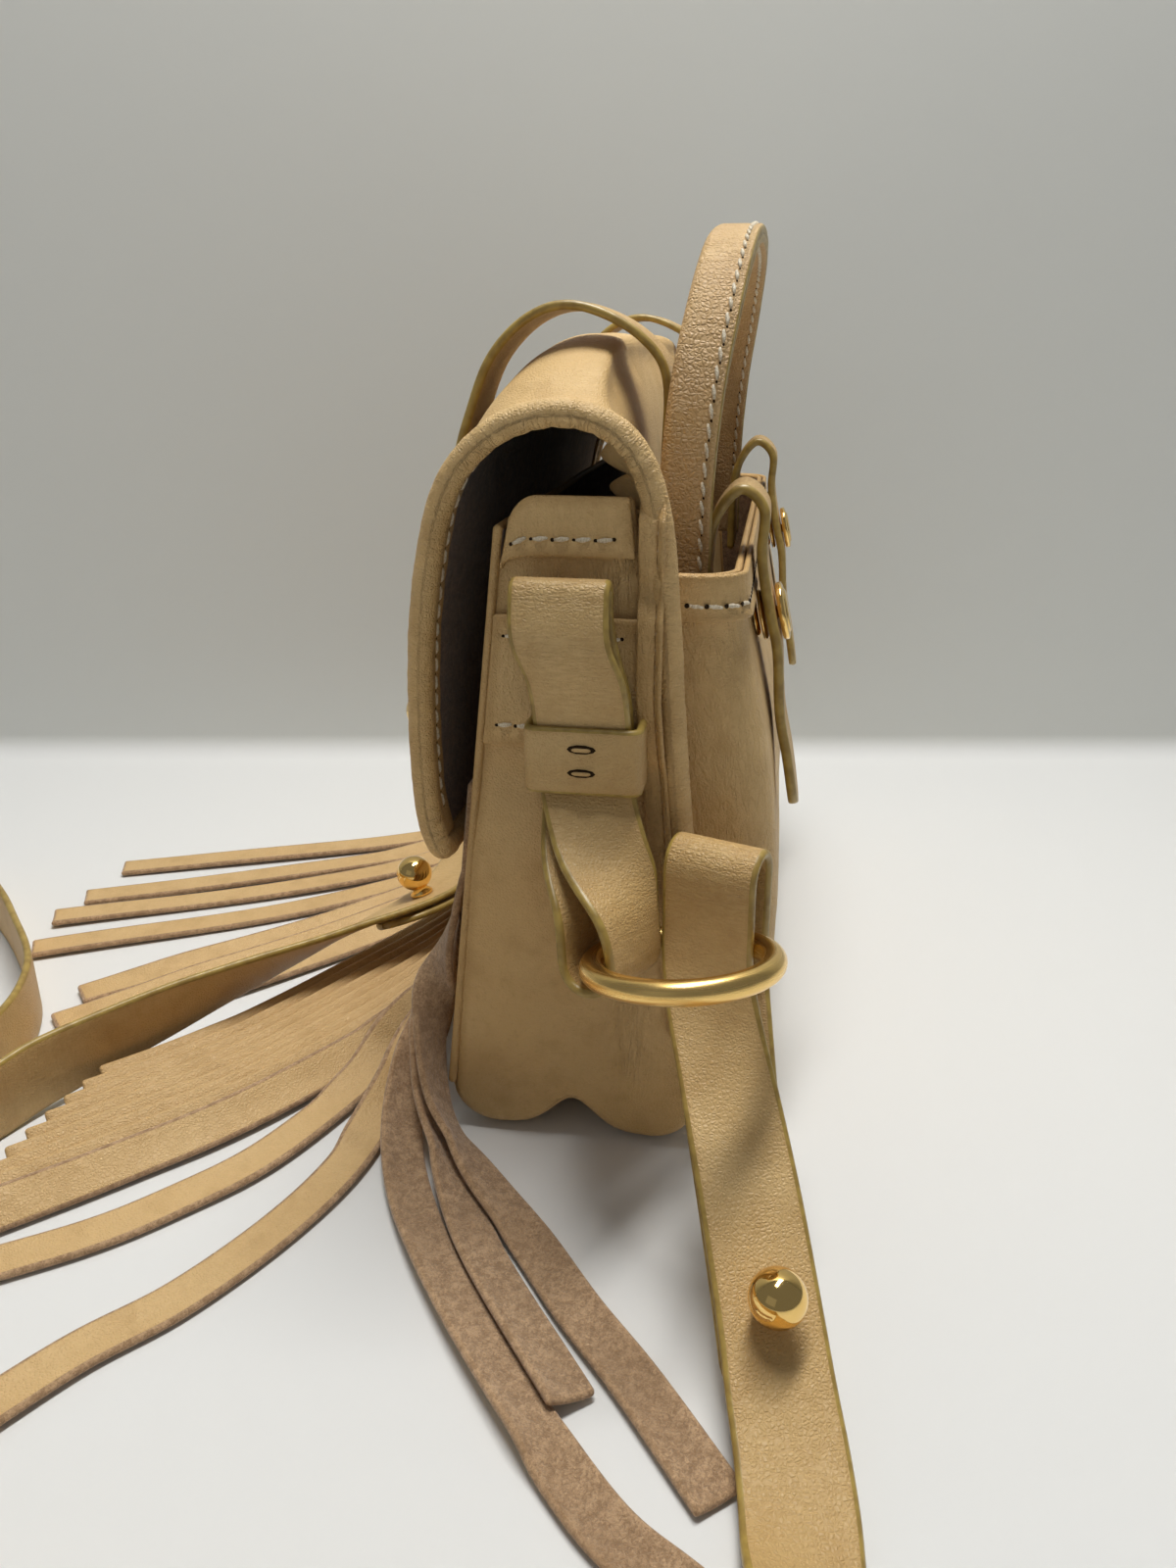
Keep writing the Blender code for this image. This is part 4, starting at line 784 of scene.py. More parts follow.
CALF = grain_leather("calf_grain", TAN, TAN_DARK, TAN_LIGHT, creases=(500.0, 130.0))
CALF_ROLL = grain_leather("rolled_calf", TAN, TAN_DARK, TAN_LIGHT, creases=(170.0, 520.0), crease_depth=0.00030)
CALF_STRAP = grain_leather("strap_grain", STRAP_TAN, TAN_DARK, TAN_LIGHT, cells=1200.0, grain=0.00009,
                           creases=(150.0, 820.0), crease_depth=0.00008, rough=0.46, wear=0.3,
                           reach=0.0012)
CALF_HANDLE = grain_leather("handle_grain", HANDLE_TAN, TAN_DARK, TAN_LIGHT, cells=950.0, grain=0.00017,
                            creases=(150.0, 500.0), wear=0.3)
FRINGE_TAN = grain_leather("fringe_grain", STRIP_TAN, STRIP_DARK, STRIP_LIGHT, cells=1300.0, grain=0.00010,
                           creases=(120.0, 420.0), crease_depth=0.00012, wear=0.3, reach=0.0006)
EDGE_PAINT = painted_edge("olive_edge_paint", EDGE_OLIVE, EDGE_DEEP)
FLESH = flesh_leather("flesh_side", LINING, LINING_DARK)
RAW_EDGE = flesh_leather("cut_edge", SUEDE, SUEDE_DARK, depth=0.0003)
FRINGE_FLESH = flesh_leather("fringe_flesh_side", SUEDE, SUEDE_DARK, depth=0.0006)
GOLD_SATIN = gold_finish("satin_gold", 0.22, 0.36, (700.0, 18.0), 0.00002)
GOLD_POLISH = gold_finish("polished_gold", 0.05, 0.12, (12.0, 900.0), 0.000004)
THREAD = thread_finish()
HOLE_SHADE = hole_shade_finish()
LEATHER_SET = [CALF, FLESH, CALF]
STRAP_SET = [CALF_STRAP, CALF_STRAP, EDGE_PAINT]
FRINGE_SET = [FRINGE_TAN, FRINGE_FLESH, RAW_EDGE]
GROUP_SET = [FRINGE_TAN, FRINGE_FLESH, FRINGE_TAN]


def half_width(z):
    """Half of the body's width at a height, outside the front panel."""
    return BASE_HALF_WIDTH - SIDE_SLOPE * z


def dome(x):
    """How much higher the flap's top stands than at its ends: rise * (1 - exp(-(distance in / run)^2))."""
    inward = HALF - np.abs(x)
    return DOME_HEIGHT * (1 - np.exp(-(np.maximum(inward, 0) / DOME_RUN) ** 2))


def back_inset(x, y, z):
    """How far the back sheet lies further in between the bag's ends, high up and on its back side only."""
    inward = np.maximum(HALF - np.abs(x), 0)
    away = 1 - np.exp(-(inward / INSET_RUN) ** 2)
    return BACK_INSET * away * smoothstep((z - 0.050) / 0.060) * smoothstep((y - 0.002) / 0.012)


def flap_surface(line, x):
    """The flap's section line set at each place along the length, with the dome lifted into its top."""
    y, z = line[:, :1], line[:, 1:]
    lift = smoothstep((z - DOME_START) / (0.174 - DOME_START)) * dome(x)
    return np.stack(np.broadcast_arrays(x, y - back_inset(x, y, z), z + lift), axis=-1)


def cut_at(line, low, high, count):
    """The stretch of a line between two running lengths, with evenly spaced points."""
    run = running_length(line)
    want = np.linspace(low, high, count)
    return np.stack([np.interp(want, run, line[:, k]) for k in range(line.shape[1])], axis=1)


FLAP_LINE = smooth_line(FLAP_SECTION, 900)
FLAP_RUN = running_length(FLAP_LINE)[-1]
BACK_TOP_RUN = float(np.interp(BODY_HEIGHT, FLAP_LINE[:330, 1], running_length(FLAP_LINE)[:330]))


def make_flap():
    """Back and flap in one sheet: the section line carried along the length, with soft dents in the free part."""
    line = cut_at(FLAP_LINE, 0, FLAP_RUN - ROLL_RADIUS - SEAM_GAP, 250)
    reach = HALF - ROLL_RADIUS - SEAM_GAP
    x = np.linspace(-reach, reach, 130)[None, :]
    grid = flap_surface(line, x)
    run = np.linspace(0, 1, 250)[:, None] * FLAP_RUN
    free = smoothstep((run - BACK_TOP_RUN - 0.008) / 0.03) * smoothstep((reach - np.abs(x)) / 0.02 + 0.15)
    normal = unit(np.cross(np.gradient(grid, axis=0), np.gradient(grid, axis=1)))
    grid += normal * (free * (0.0005 * ripple(x, run, 11, 0.060) + 0.00018 * ripple(x, run, 12, 0.020)))[..., None]
    # Crease mark: a band of deeper crease lines, darkened as painted shade, just past the top of the back where the
    # flap bends over.
    folds = 0.25 * np.exp(-((run - BACK_TOP_RUN - 0.022) / 0.018) ** 2) * np.ones_like(x)
    settle(shell("flap_and_back_sheet", grid, LEATHER, LEATHER_SET, marks={"crease_and_shade": folds}),
           ["back_flap_panel"])


def roll_route():
    """The roll's centre line and its outward direction: up one end, round the corner, along the front and back."""
    edge = cut_at(FLAP_LINE, 0, FLAP_RUN - ROLL_CORNER, 420)
    near = np.column_stack([np.full(len(edge), HALF), edge])
    foot = FLAP_LINE[-1]
    bend = (foot + edge[-1]) / 2 + (foot - edge[-1]) * 0.2
    turn = np.array([(HALF - ROLL_CORNER * 0.3, *bend), (HALF - ROLL_CORNER, *foot)])
    mirror = np.array([-1.0, 1, 1])
    line = resample(np.vstack([near, turn, turn[::-1] * mirror, near[::-1] * mirror]), 1500)
    line = relaxed(line, 30)
    share = smoothstep((HALF - np.abs(line[:, 0])) / (ROLL_CORNER * 1.6))[:, None]
    down = np.array([0, unit(foot - FLAP_LINE[-20])[0], unit(foot - FLAP_LINE[-20])[1]])
    end = np.sign(line[:, :1]) * np.array([1.0, 0, 0])
    return line, unit(end * (1 - share) + down * share)


def make_roll():
    """The rolled edge: a round section whose radius varies with fine wrinkles, deeper on the inside of the arch."""
    line, outward = roll_route()
    run = running_length(line)[:, None]
    angle = np.linspace(0, 2 * pi, 28, endpoint=False)[None, :]
    bend = np.linalg.norm(np.gradient(np.gradient(line, axis=0), axis=0), axis=1) / (run[1, 0] ** 2)
    bend = np.convolve(bend, np.ones(31) / 31, mode="same")[:, None]
    inner = smoothstep(0.5 - 0.5 * np.sin(angle))
    pleats = smoothstep(bend / 60) * inner
    wrinkle = (0.00005 * ripple(angle * 0.003, run, 21, 0.0035) + 0.00007 * ripple(angle * 0.003, run, 22, 0.010)
               - 0.00022 * pleats * (0.5 + 0.5 * np.sin(2 * pi * run / 0.0047 + ripple(0 * run, run, 23, 0.02))) ** 3)
    radius = ROLL_RADIUS - 0.00015 + wrinkle
    profile = np.stack([np.cos(angle) * radius, np.sin(angle) * radius], axis=-1)
    # The crease mark is stronger on the pleats inside the arch: there the crease lines are deeper and darkened as
    # painted shade.
    roll = sweep("flap_edge_roll", line, outward, profile, [CALF_ROLL],
                 marks={"crease_and_shade": np.clip(0.25 + pleats * 0.5, 0, 1)})
    settle(roll, ["flap_edge_roll"])


def make_turned_allowance():
    """The turned edge inside the flap's ends: a thin strip under the sheet with a puckered, scalloped border."""
    start = BACK_TOP_RUN + 0.003
    rows = 420
    line = cut_at(FLAP_LINE, start, FLAP_RUN - ROLL_RADIUS - SEAM_GAP, rows)
    run = np.linspace(start, FLAP_RUN, rows)[:, None]
    arch = np.exp(-((run - BACK_TOP_RUN - 0.040) / 0.032) ** 2) * smoothstep((run - start) / 0.012)
    scallop = np.abs(np.sin(pi * run / 0.0095 + 0.7 * np.sin(run * 170))) ** 0.8
    wide = 0.0050 + (0.0006 + 0.0038 * arch) * scallop
    inward = 0.0024 + wide * np.linspace(0, 1, 12)[None, :]
    for end, label in ((1, "right"), (-1, "left")):
        grid = flap_surface(line, end * (HALF - inward))
        normal = unit(np.cross(np.gradient(grid, axis=0), np.gradient(grid, axis=1))) * -end
        drop = LEATHER / 2 + ALLOWANCE / 2 + 0.00025 + 0.0042 * arch * scallop * np.linspace(0, 1, 12) ** 2
        grid = grid - normal * drop[..., None]
        strip = shell("turned_edge_" + label, grid, ALLOWANCE, [CALF, CALF, CALF], flip=end > 0)
        settle(strip)
        seam = grid[:, 4] - normal[:, 4] * (ALLOWANCE / 2)
        sewn = (run[:, 0] > BACK_TOP_RUN + 0.06) & (run[:, 0] < FLAP_RUN - 0.006)
        stitches("turned_edge_stitches_" + label, seam[sewn], -normal[:, 4][sewn], radius=0.00034)


def stitches(name, line, normal, step=0.0040, length=0.0034, radius=0.00048, slant=0.10, hole_shades=True):
    """A row of sewn stitches: each a two-ply capsule, r(s) = radius * (1 - |2s - 1|^3)^(1/2), sunk at both ends."""
    run = running_length(line)
    count = int(run[-1] / step)
    middle = (np.arange(count) + 0.5) * run[-1] / count
    pick = [np.stack([np.interp(middle, run, values[:, k]) for k in range(3)], axis=1) for values in (line, normal)]
    along = unit(np.stack([np.interp(middle + 0.001, run, line[:, k]) - np.interp(middle - 0.001, run, line[:, k])
                           for k in range(3)], axis=1))
    place, up = pick[0], unit(pick[1])
    side = unit(np.cross(up, along))
    along = unit(along + side * slant)
    side = unit(np.cross(up, along))

    s = np.linspace(0.02, 0.98, 9)[None, :, None]
    angle = np.linspace(0, 2 * pi, 10, endpoint=False)[None, None, :]
    thick = radius * np.sqrt(1 - np.abs(2 * s - 1) ** 3) * (1 + 0.16 * np.cos(2 * (angle - 2 * pi * s)))
    lift = radius * (0.55 - 0.9 * np.abs(2 * s - 1) ** 3)
    body = (place[:, None, None] + along[:, None, None] * (length * (s - 0.5))[..., None]
            + up[:, None, None] * (lift + thick * np.sin(angle))[..., None]
            + side[:, None, None] * (thick * np.cos(angle))[..., None])
    one = grid_quads(9, 10, wrap=True)
    k = np.arange(4)
    cap = np.stack([k, k + 1, 8 - k, 9 - k], axis=1)
    one = np.concatenate([one, cap, cap[:, ::-1] + 80])
    quads = (one[None] + np.arange(count)[:, None, None] * 90).reshape(-1, 4)
    uv = np.stack(np.broadcast_arrays(angle / (2 * pi) + 2 * s, s + np.arange(count)[:, None, None]), axis=-1)
    thread = make_object(name, body.reshape(-1, 3), quads, [THREAD], uv=uv.reshape(-1, 2))
    settle(thread)
    # Dark dots of painted shade where the needle holes are, at both ends of each stitch.
    if hole_shades:
        spots = np.vstack([place - along * (length * 0.5 + 0.0002), place[-1:] + along[-1:] * (length * 0.5 + 0.0002)])
        face = np.vstack([up, up[-1:]])
        hole_shade_dots(name.replace("stitches", "stitch_hole_shades"), spots, face, radius * 1.15)


def hole_shade_dots(name, places, facing, radius, stretch=1.0, along=None):
    """Painted shade of holes and slits: small dark flat domes of an even outline, a hair above the leather."""
    along = np.tile([0.31, 0.93, 0.17], (len(places), 1)) if along is None else along
    first = unit(along - facing * (along * facing).sum(axis=1, keepdims=True))
    second = np.cross(facing, first)
    angle = np.linspace(0, 2 * pi, 10, endpoint=False)[None, None, :]
    ring = np.array([1.0, 0.75, 0.1])[None, :, None] * radius
    height = np.array([-0.5, 0.10, 0.16])[None, :, None] * radius
    shape = (places[:, None, None] + first[:, None, None] * (ring * np.cos(angle) * stretch)[..., None]
             + second[:, None, None] * (ring * np.sin(angle))[..., None]
             + facing[:, None, None] * np.broadcast_to(height, (1, 3, 10))[..., None])
    one = grid_quads(3, 10, wrap=True)
    k = np.arange(4)
    cap = np.stack([k, k + 1, 8 - k, 9 - k], axis=1)
    one = np.concatenate([one[:, ::-1], cap, cap[:, ::-1] + 20])[:, ::-1]
    quads = (one[None] + np.arange(len(places))[:, None, None] * 30).reshape(-1, 4)
    settle(make_object(name, shape.reshape(-1, 3), quads, [HOLE_SHADE]))


def make_front_panel():
    """The body's front under the flap, a plane that leans back, with its top edge a little slack."""
    z = np.linspace(BODY_HEIGHT - 0.006, PANEL_FOOT, 70)[:, None]
    x = np.linspace(-HALF, HALF, 90)[None, :]
    y = -(half_width(z) - LEATHER / 2) + 0.0003 * ripple(x, z, 41, 0.05) * smoothstep((HALF - np.abs(x)) / 0.01)
    grid = np.stack(np.broadcast_arrays(x, y, z), axis=-1)
    settle(shell("front_panel", grid, LEATHER, LEATHER_SET), ["front_panel"])


def base_rise(y, x):
    """Height of the base: round along its long edges, pinched up in the middle near its ends."""
    over = np.maximum(np.abs(y) - (BASE_HALF_WIDTH - BASE_INSET - BASE_RADIUS), 0)
    edge = BASE_RADIUS - np.sqrt(np.maximum(BASE_RADIUS ** 2 - over ** 2, 0))
    near_end = smoothstep((np.abs(x) - (HALF - PINCH_LENGTH)) / PINCH_LENGTH)
    return edge + near_end * PINCH_HEIGHT * np.exp(-(y / PINCH_WIDTH) ** 2)


def gusset_bulge(y, z):
    """How far the gusset's end swells: two soft upright lobes low down, a dip between them, and soft creases."""
    low = smoothstep((z - 0.008) / 0.020) * (1 - smoothstep((z - 0.070) / 0.030))
    lobes = np.exp(-((y + 0.013) / 0.011) ** 2) + 0.75 * np.exp(-((y - 0.015) / 0.008) ** 2)
    dip = np.exp(-((y - 0.002 - (z - 0.02) * 0.12) / 0.006) ** 2) * (1 - smoothstep((z - 0.015) / 0.05))
    way = 0.0008 * np.sin(z * 300) + 0.0005 * np.sin(z * 720 + 1)
    folds = (np.exp(-((y - 0.0115 - way) / 0.0012) ** 2) + 0.8 * np.exp(-((y - 0.0160 - way * 1.3) / 0.0013) ** 2))
    folds = folds * smoothstep((z - 0.020) / 0.012) * (1 - smoothstep((z - 0.062) / 0.02))
    return 0.0022 * low * lobes - 0.0012 * low * dip - 0.00045 * folds


def corner_sag(share):
    """How far the mouth's front corner drops: a quarter ellipse from the front border, 1 - (1 - (1 - t)^2)^(1/2)."""
    near = 1 - np.clip((share + 1) / CORNER_REACH, 0, 1)
    return 1 - np.sqrt(1 - near ** 2)


def gusset_grid():
    """One strip that runs down one end, along the base and up the other end, as rows of shares of its width."""
    share = np.linspace(-1, 1, 90)[None, :]
    wide = BASE_HALF_WIDTH - BASE_INSET
    heights = np.linspace(BODY_HEIGHT, 0.0040, 190)[:, None]
    fade = np.maximum(0, 1 - heights / 0.035)
    edge_height = heights + fade * base_rise(wide, HALF)
    y = share * np.minimum(wide, half_width(edge_height) - LEATHER - SEAM_GAP)
    side = np.stack(np.broadcast_arrays(HALF - LEATHER / 2, y, heights + fade * base_rise(y, HALF)), axis=-1)
    side[..., 0] += gusset_bulge(y, heights)
    sag = smoothstep((heights - (BODY_HEIGHT - 0.016)) / 0.016)
    side[..., 2] -= MOUTH_SAG * sag * corner_sag(share)
    side[..., 0] -= 0.0010 * sag * (1 - smoothstep((share + 1) / 0.30))
    angle = np.radians(np.linspace(0, 90, 14))[1:, None]
    x = HALF - BASE_BEND * (1 - np.cos(angle))
    y = share * wide
    turn = np.stack(np.broadcast_arrays(x - LEATHER / 2, y, 0.0040 * (1 - np.sin(angle)) + base_rise(y, x)), axis=-1)
    x = np.linspace(HALF - BASE_BEND - 0.0012, 0, 60)[:, None]
    base = np.stack(np.broadcast_arrays(x - LEATHER / 2 * (x > 0), y, base_rise(y, x)), axis=-1)
    near = np.concatenate([side, turn, base])
    near[..., 2] += LEATHER / 2 * smoothstep((0.026 - near[..., 2]) / 0.010)
    return np.concatenate([near, near[-2::-1] * np.array([-1.0, 1, 1])]), len(side)


def make_gusset():
    """The gusset and base, with fine upright creases near its sewn sides, their lines darkened as painted shade, and
    more darkened crease lines high up near the mouth.
    """
    grid, side_rows = gusset_grid()
    z, y = grid[..., 2], grid[..., 1]
    low = smoothstep((z - 0.012) / 0.015) * (1 - smoothstep((z - 0.075) / 0.03))
    crease_and_shade = low * 0.55 * np.exp(-((y - 0.0145) / 0.005) ** 2)
    # Painted shade: more darkened crease lines high up near the mouth, more so towards +y.
    crease_and_shade += smoothstep((z - 0.130) / 0.012) * (0.15 + 0.6 * smoothstep((y - 0.002) / 0.010))
    settle(shell("gusset_and_base", grid, LEATHER, [CALF_GUSSET, FLESH, CALF], marks={"crease_and_shade": crease_and_shade}),
           ["gusset"])


def make_end_trim(side, label):
    """The hem along the gusset's mouth and the band across it, each with raised lips and a row of stitches."""
    face = HALF + SEAM_GAP
    across = np.linspace(-1, 1, 60)[None, :]
    pieces = (("gusset_hem_", BODY_HEIGHT - HEM_HEIGHT, BODY_HEIGHT + 0.0006, HEM_THICKNESS, (0.28,)),
              ("side_band_", BAND_LOW, BAND_LOW + BAND_HEIGHT, BAND_SHEET, (0.13, 0.87)))
    for name, low, high, thick, rows in pieces:
        z = np.linspace(high, low, 44)[:, None]
        up = (z - low) / (high - low)
        y = (half_width(z) - LEATHER - SEAM_GAP - 0.0003) * across
        x = face + thick / 2 + 0.0001 + 0 * y
        for row in rows:
            x -= 0.00022 * np.exp(-((up - row) * (high - low) / 0.0011) ** 2)
        if name == "side_band_":
            x += 0.0005 * (np.exp(-(up * (high - low) / 0.0016) ** 2) + np.exp(-((1 - up) * (high - low) / 0.0016) ** 2))
        else:
            x += 0.00035 * np.exp(-(up * (high - low) / 0.0016) ** 2)
            sag = corner_sag(across)
            z = z - MOUTH_SAG * sag * (0.35 + 0.65 * up)
            x = x - 0.0010 * (1 - smoothstep((across + 1) / 0.30)) * up
        x = x + 0.00012 * ripple(y, z + 0 * y, 51, 0.012)
        grid = np.stack(np.broadcast_arrays(side * x, y, z), axis=-1)
        crease_and_shade = 0.25 + 0.0 * y
        piece = shell(name + label, grid, thick, LEATHER_SET, flip=side < 0, marks={"crease_and_shade": crease_and_shade})
        settle(piece, [name + label])
        for row in rows:
            k = int(round((1 - row) * 43))
            seam = grid[k] + np.array([side * thick / 2, 0, 0])
            start, stop = 3, 53 if side > 0 else 57
            facing = np.tile([side, 0.0, 0], (stop - start, 1))
            stitches(f"{name}stitches_{label}_{int(row * 100)}", seam[start:stop], facing)


def make_seam_strips():
    """Beside the back roll of each end: the turned leather that covers the ends of the hem and band, sewn flat."""
    z = np.linspace(BODY_HEIGHT + 0.0012, 0.034, 220)[:, None]
    section = FLAP_LINE[:330]
    roll_y = np.interp(z, section[:, 1], section[:, 0])
    outer, inner = roll_y - 0.0022, roll_y - 0.0022 - 0.0046
    share = np.linspace(0, 1, 16)[None, :]
    y = outer + (inner - outer) * share
    over_band = smoothstep((z - BAND_LOW + 0.006) / 0.006) * (1 - smoothstep((z - BAND_LOW - BAND_HEIGHT) / 0.006))
    over_hem = smoothstep((z - BODY_HEIGHT + HEM_HEIGHT + 0.006) / 0.006)
    rise = 0.00035 + np.maximum(over_band * 0.0023, over_hem * 0.0016) + gusset_bulge(y, z) * (1 - over_band)
    x = HALF + rise + STRIP_LEATHER / 2 + 0.0004 * (1 - share) + 0.00010 * ripple(y, z, 61, 0.009)
    x = x - 0.0030 * smoothstep((z - BODY_HEIGHT + 0.0040) / 0.0050)
    x = x + 0.0012 * smoothstep(1 - share * 4) - 0.00035 * np.exp(-((share - 0.20) / 0.09) ** 2)
    for side, label in ((1, "right"), (-1, "left")):
        grid = np.stack(np.broadcast_arrays(side * x, y, z), axis=-1)
        strip = shell("seam_strip_" + label, grid, STRIP_LEATHER, [CALF, CALF, CALF], flip=side > 0,
                      marks={"crease_and_shade": 0.4 + 0 * y})
        settle(strip)
        seam = grid[4:-4, 3] + np.array([side * STRIP_LEATHER / 2, 0, 0])
        facing = np.tile([side, 0.0, 0], (len(seam), 1))
        stitches("seam_strip_stitches_" + label, seam, facing, radius=0.00022, length=0.0020, step=0.0034)


ALLOWANCE = 0.0009
TAB_BULGE = 0.0042
BAND_SHEET = 0.0014
STRIP_LEATHER = 0.0010
CALF_GUSSET = grain_leather("gusset_grain", TAN, TAN_DARK, TAN_LIGHT, creases=(620.0, 85.0), crease_depth=0.00035)

make_flap()
make_roll()
make_turned_allowance()
make_front_panel()
make_gusset()
for SIDE, LABEL in ((1, "right"), (-1, "left")):
    make_end_trim(SIDE, LABEL)
make_seam_strips()


def ribbon(centres, widths, width, across):
    """Grid of a strap: the centre line moved sideways along each row's width direction, with an even width or one
    for each row."""
    width = np.broadcast_to(np.asarray(width, float), (len(centres),))
    share = np.linspace(-0.5, 0.5, across)
    return centres[:, None] + unit(widths)[:, None] * (width[:, None] * share)[..., None]


def tip_width(run, width, low_end, high_end, flat=0.35):
    """Width of a strap with rounded tips: w * sqrt(1 - (1 - d / r)^2) near an end, d the distance from it."""
    out = np.full(len(run), float(width))
    radius = width / 2
    for wanted, gone in ((low_end, run), (high_end, run[-1] - run)):
        if wanted:
            near = np.clip(1 - gone / radius, 0, 1)
            out = np.minimum(out, width * (flat + (1 - flat) * np.sqrt(np.maximum(1 - near ** 2, 0))))
    return out


def ring_bulge():
    """How far a ring's wire bows within the width of a tab."""
    return RING_RADIUS - np.sqrt(RING_RADIUS ** 2 - (TAB_WIDTH / 2) ** 2)


def ring_places():
    """For each end: where the wire sits in its tab, the ring's centre, its axis and the tab's outward direction."""
    axis = unit(np.array([-np.sin(RING_TILT), -RING_SIDE_TILT, np.cos(RING_TILT)]))
    out = np.array([np.cos(NEAR_TAB_TWIST), np.sin(NEAR_TAB_TWIST), 0])
    out = unit(out - axis * axis.dot(out))
    near = np.array([HALF + NEAR_BEND_OUT, NEAR_TAB_SHIFT, BEND_HEIGHT])
    far = np.array([-HALF - FAR_BEND_OUT, FAR_TAB_SHIFT, BEND_HEIGHT])
    down = np.array([0, 0, -1.0])
    return {"right": (near, near + out * RING_RADIUS, axis, out, axis, out),
            "left": (far, far + down * RING_RADIUS, np.array([1.0, 0, 0]), np.array([-1.0, 0, 0]), -down, down)}


def tab_route(side, place, count):
    """Centre line and width direction of a ring tab: down behind, round the ring, up in front and over."""
    wire, _, _, out, up, bow = place
    skin = HALF + SEAM_GAP * 2 + LEATHER + STRAP_THICKNESS / 2
    layer = STRAP_THICKNESS + TAB_LAYER_GAP
    inner = RING_WIRE_RADIUS + ring_bulge() / 2 + RING_CLEARANCE + STRAP_THICKNESS / 2
    middle = wire + bow * ring_bulge() / 2
    lean = wire[1] * TAB_LEAN
    keeper_low = KEEPER_MID - KEEPER_HEIGHT / 2 - 0.0005
    cross = np.array([0, 1.0, 0])
    turned_cross = np.cross(up, out) * side

    def station(depth, y, z, twist):
        return (*(side * (skin + depth), y, z), *(cross * (1 - twist) + turned_cross * twist))

    bend = [(*(middle - out * np.cos(t) * inner - up * np.sin(t) * inner), *turned_cross)
            for t in np.radians(np.linspace(0, 180, 9))]
    behind, ahead = np.array(bend[0][:3]), np.array(bend[-1][:3])
    reach, far_reach = abs(behind[0]) - skin, abs(ahead[0]) - skin
    back = [station(0, 0, TAB_SEWN_TOP, 0), station(0, lean * 0.75, 0.118, 0), station(0, lean, KEEPER_MID, 0),
            station(0, lean * 1.1, keeper_low, 0),
            station(reach * 0.3, lean + (behind[1] - lean) * 0.35, 0.087, 0.22),
            station(reach * 0.85, lean + (behind[1] - lean) * 0.85, 0.076, 0.85)]
    front = [station(2 * layer + (far_reach - 2 * layer) * 0.92, lean + (ahead[1] - lean) * 0.85, 0.078, 0.88),
             station(2 * layer + (far_reach - 2 * layer) * 0.4, lean + (ahead[1] - lean) * 0.35, 0.088, 0.22),
             station(2 * layer, lean * 1.1, keeper_low, 0), station(2 * layer, lean, KEEPER_MID, 0),
             station(2 * layer + TAB_BULGE * 0.7, lean * 0.8, 0.121, 0),
             station(2 * layer + TAB_BULGE, lean * 0.1, 0.131, 0)]
    over = layer / 2 * TAB_TOP_FULLNESS
    top = [station(layer * 1.5 + np.cos(t) * over + TAB_BULGE * 0.2 * (1 + np.cos(t)), 0, TAB_TOP + np.sin(t) * over, 0)
           for t in np.radians(np.linspace(0, 180, 7))]
    inside = [station(layer, lean * 0.1, 0.132, 0), station(layer, lean * 0.75, 0.118, 0),
              station(layer, lean * 0.9, 0.106, 0)]
    dense = relaxed(smooth_line(back + bend + front + top + inside, count), 6)
    return dense[:, :3], dense[:, 3:]


def make_ring_hardware():
    """Tabs with painted edges, keepers and rings at both ends."""
    places = ring_places()
    for side, label in ((1, "right"), (-1, "left")):
        centres, widths = tab_route(side, places[label], 340)
        run = running_length(centres)[:, None]
        bend = np.linalg.norm(np.gradient(np.gradient(centres, axis=0), axis=0), axis=1)[:, None] / run[1, 0] ** 2
        bend = np.convolve(bend[:, 0], np.ones(15) / 15, mode="same")[:, None]
        grid = ribbon(centres, widths, TAB_WIDTH, 18)
        # The crease mark grows where the tab bends: its crease lines there are deeper and darkened as painted shade.
        crease_and_shade = np.broadcast_to(np.clip(0.30 + bend / 180, 0, 1), grid.shape[:2])
        tab = shell("ring_tab_" + label, grid, STRAP_THICKNESS, STRAP_SET, flip=side > 0, marks={"crease_and_shade": crease_and_shade})
        settle(tab, ["ring_tab_" + label])
        make_keeper(side, label, places[label][0][1] * TAB_LEAN)
        make_ring("ring_" + label, places[label][1], places[label][2])


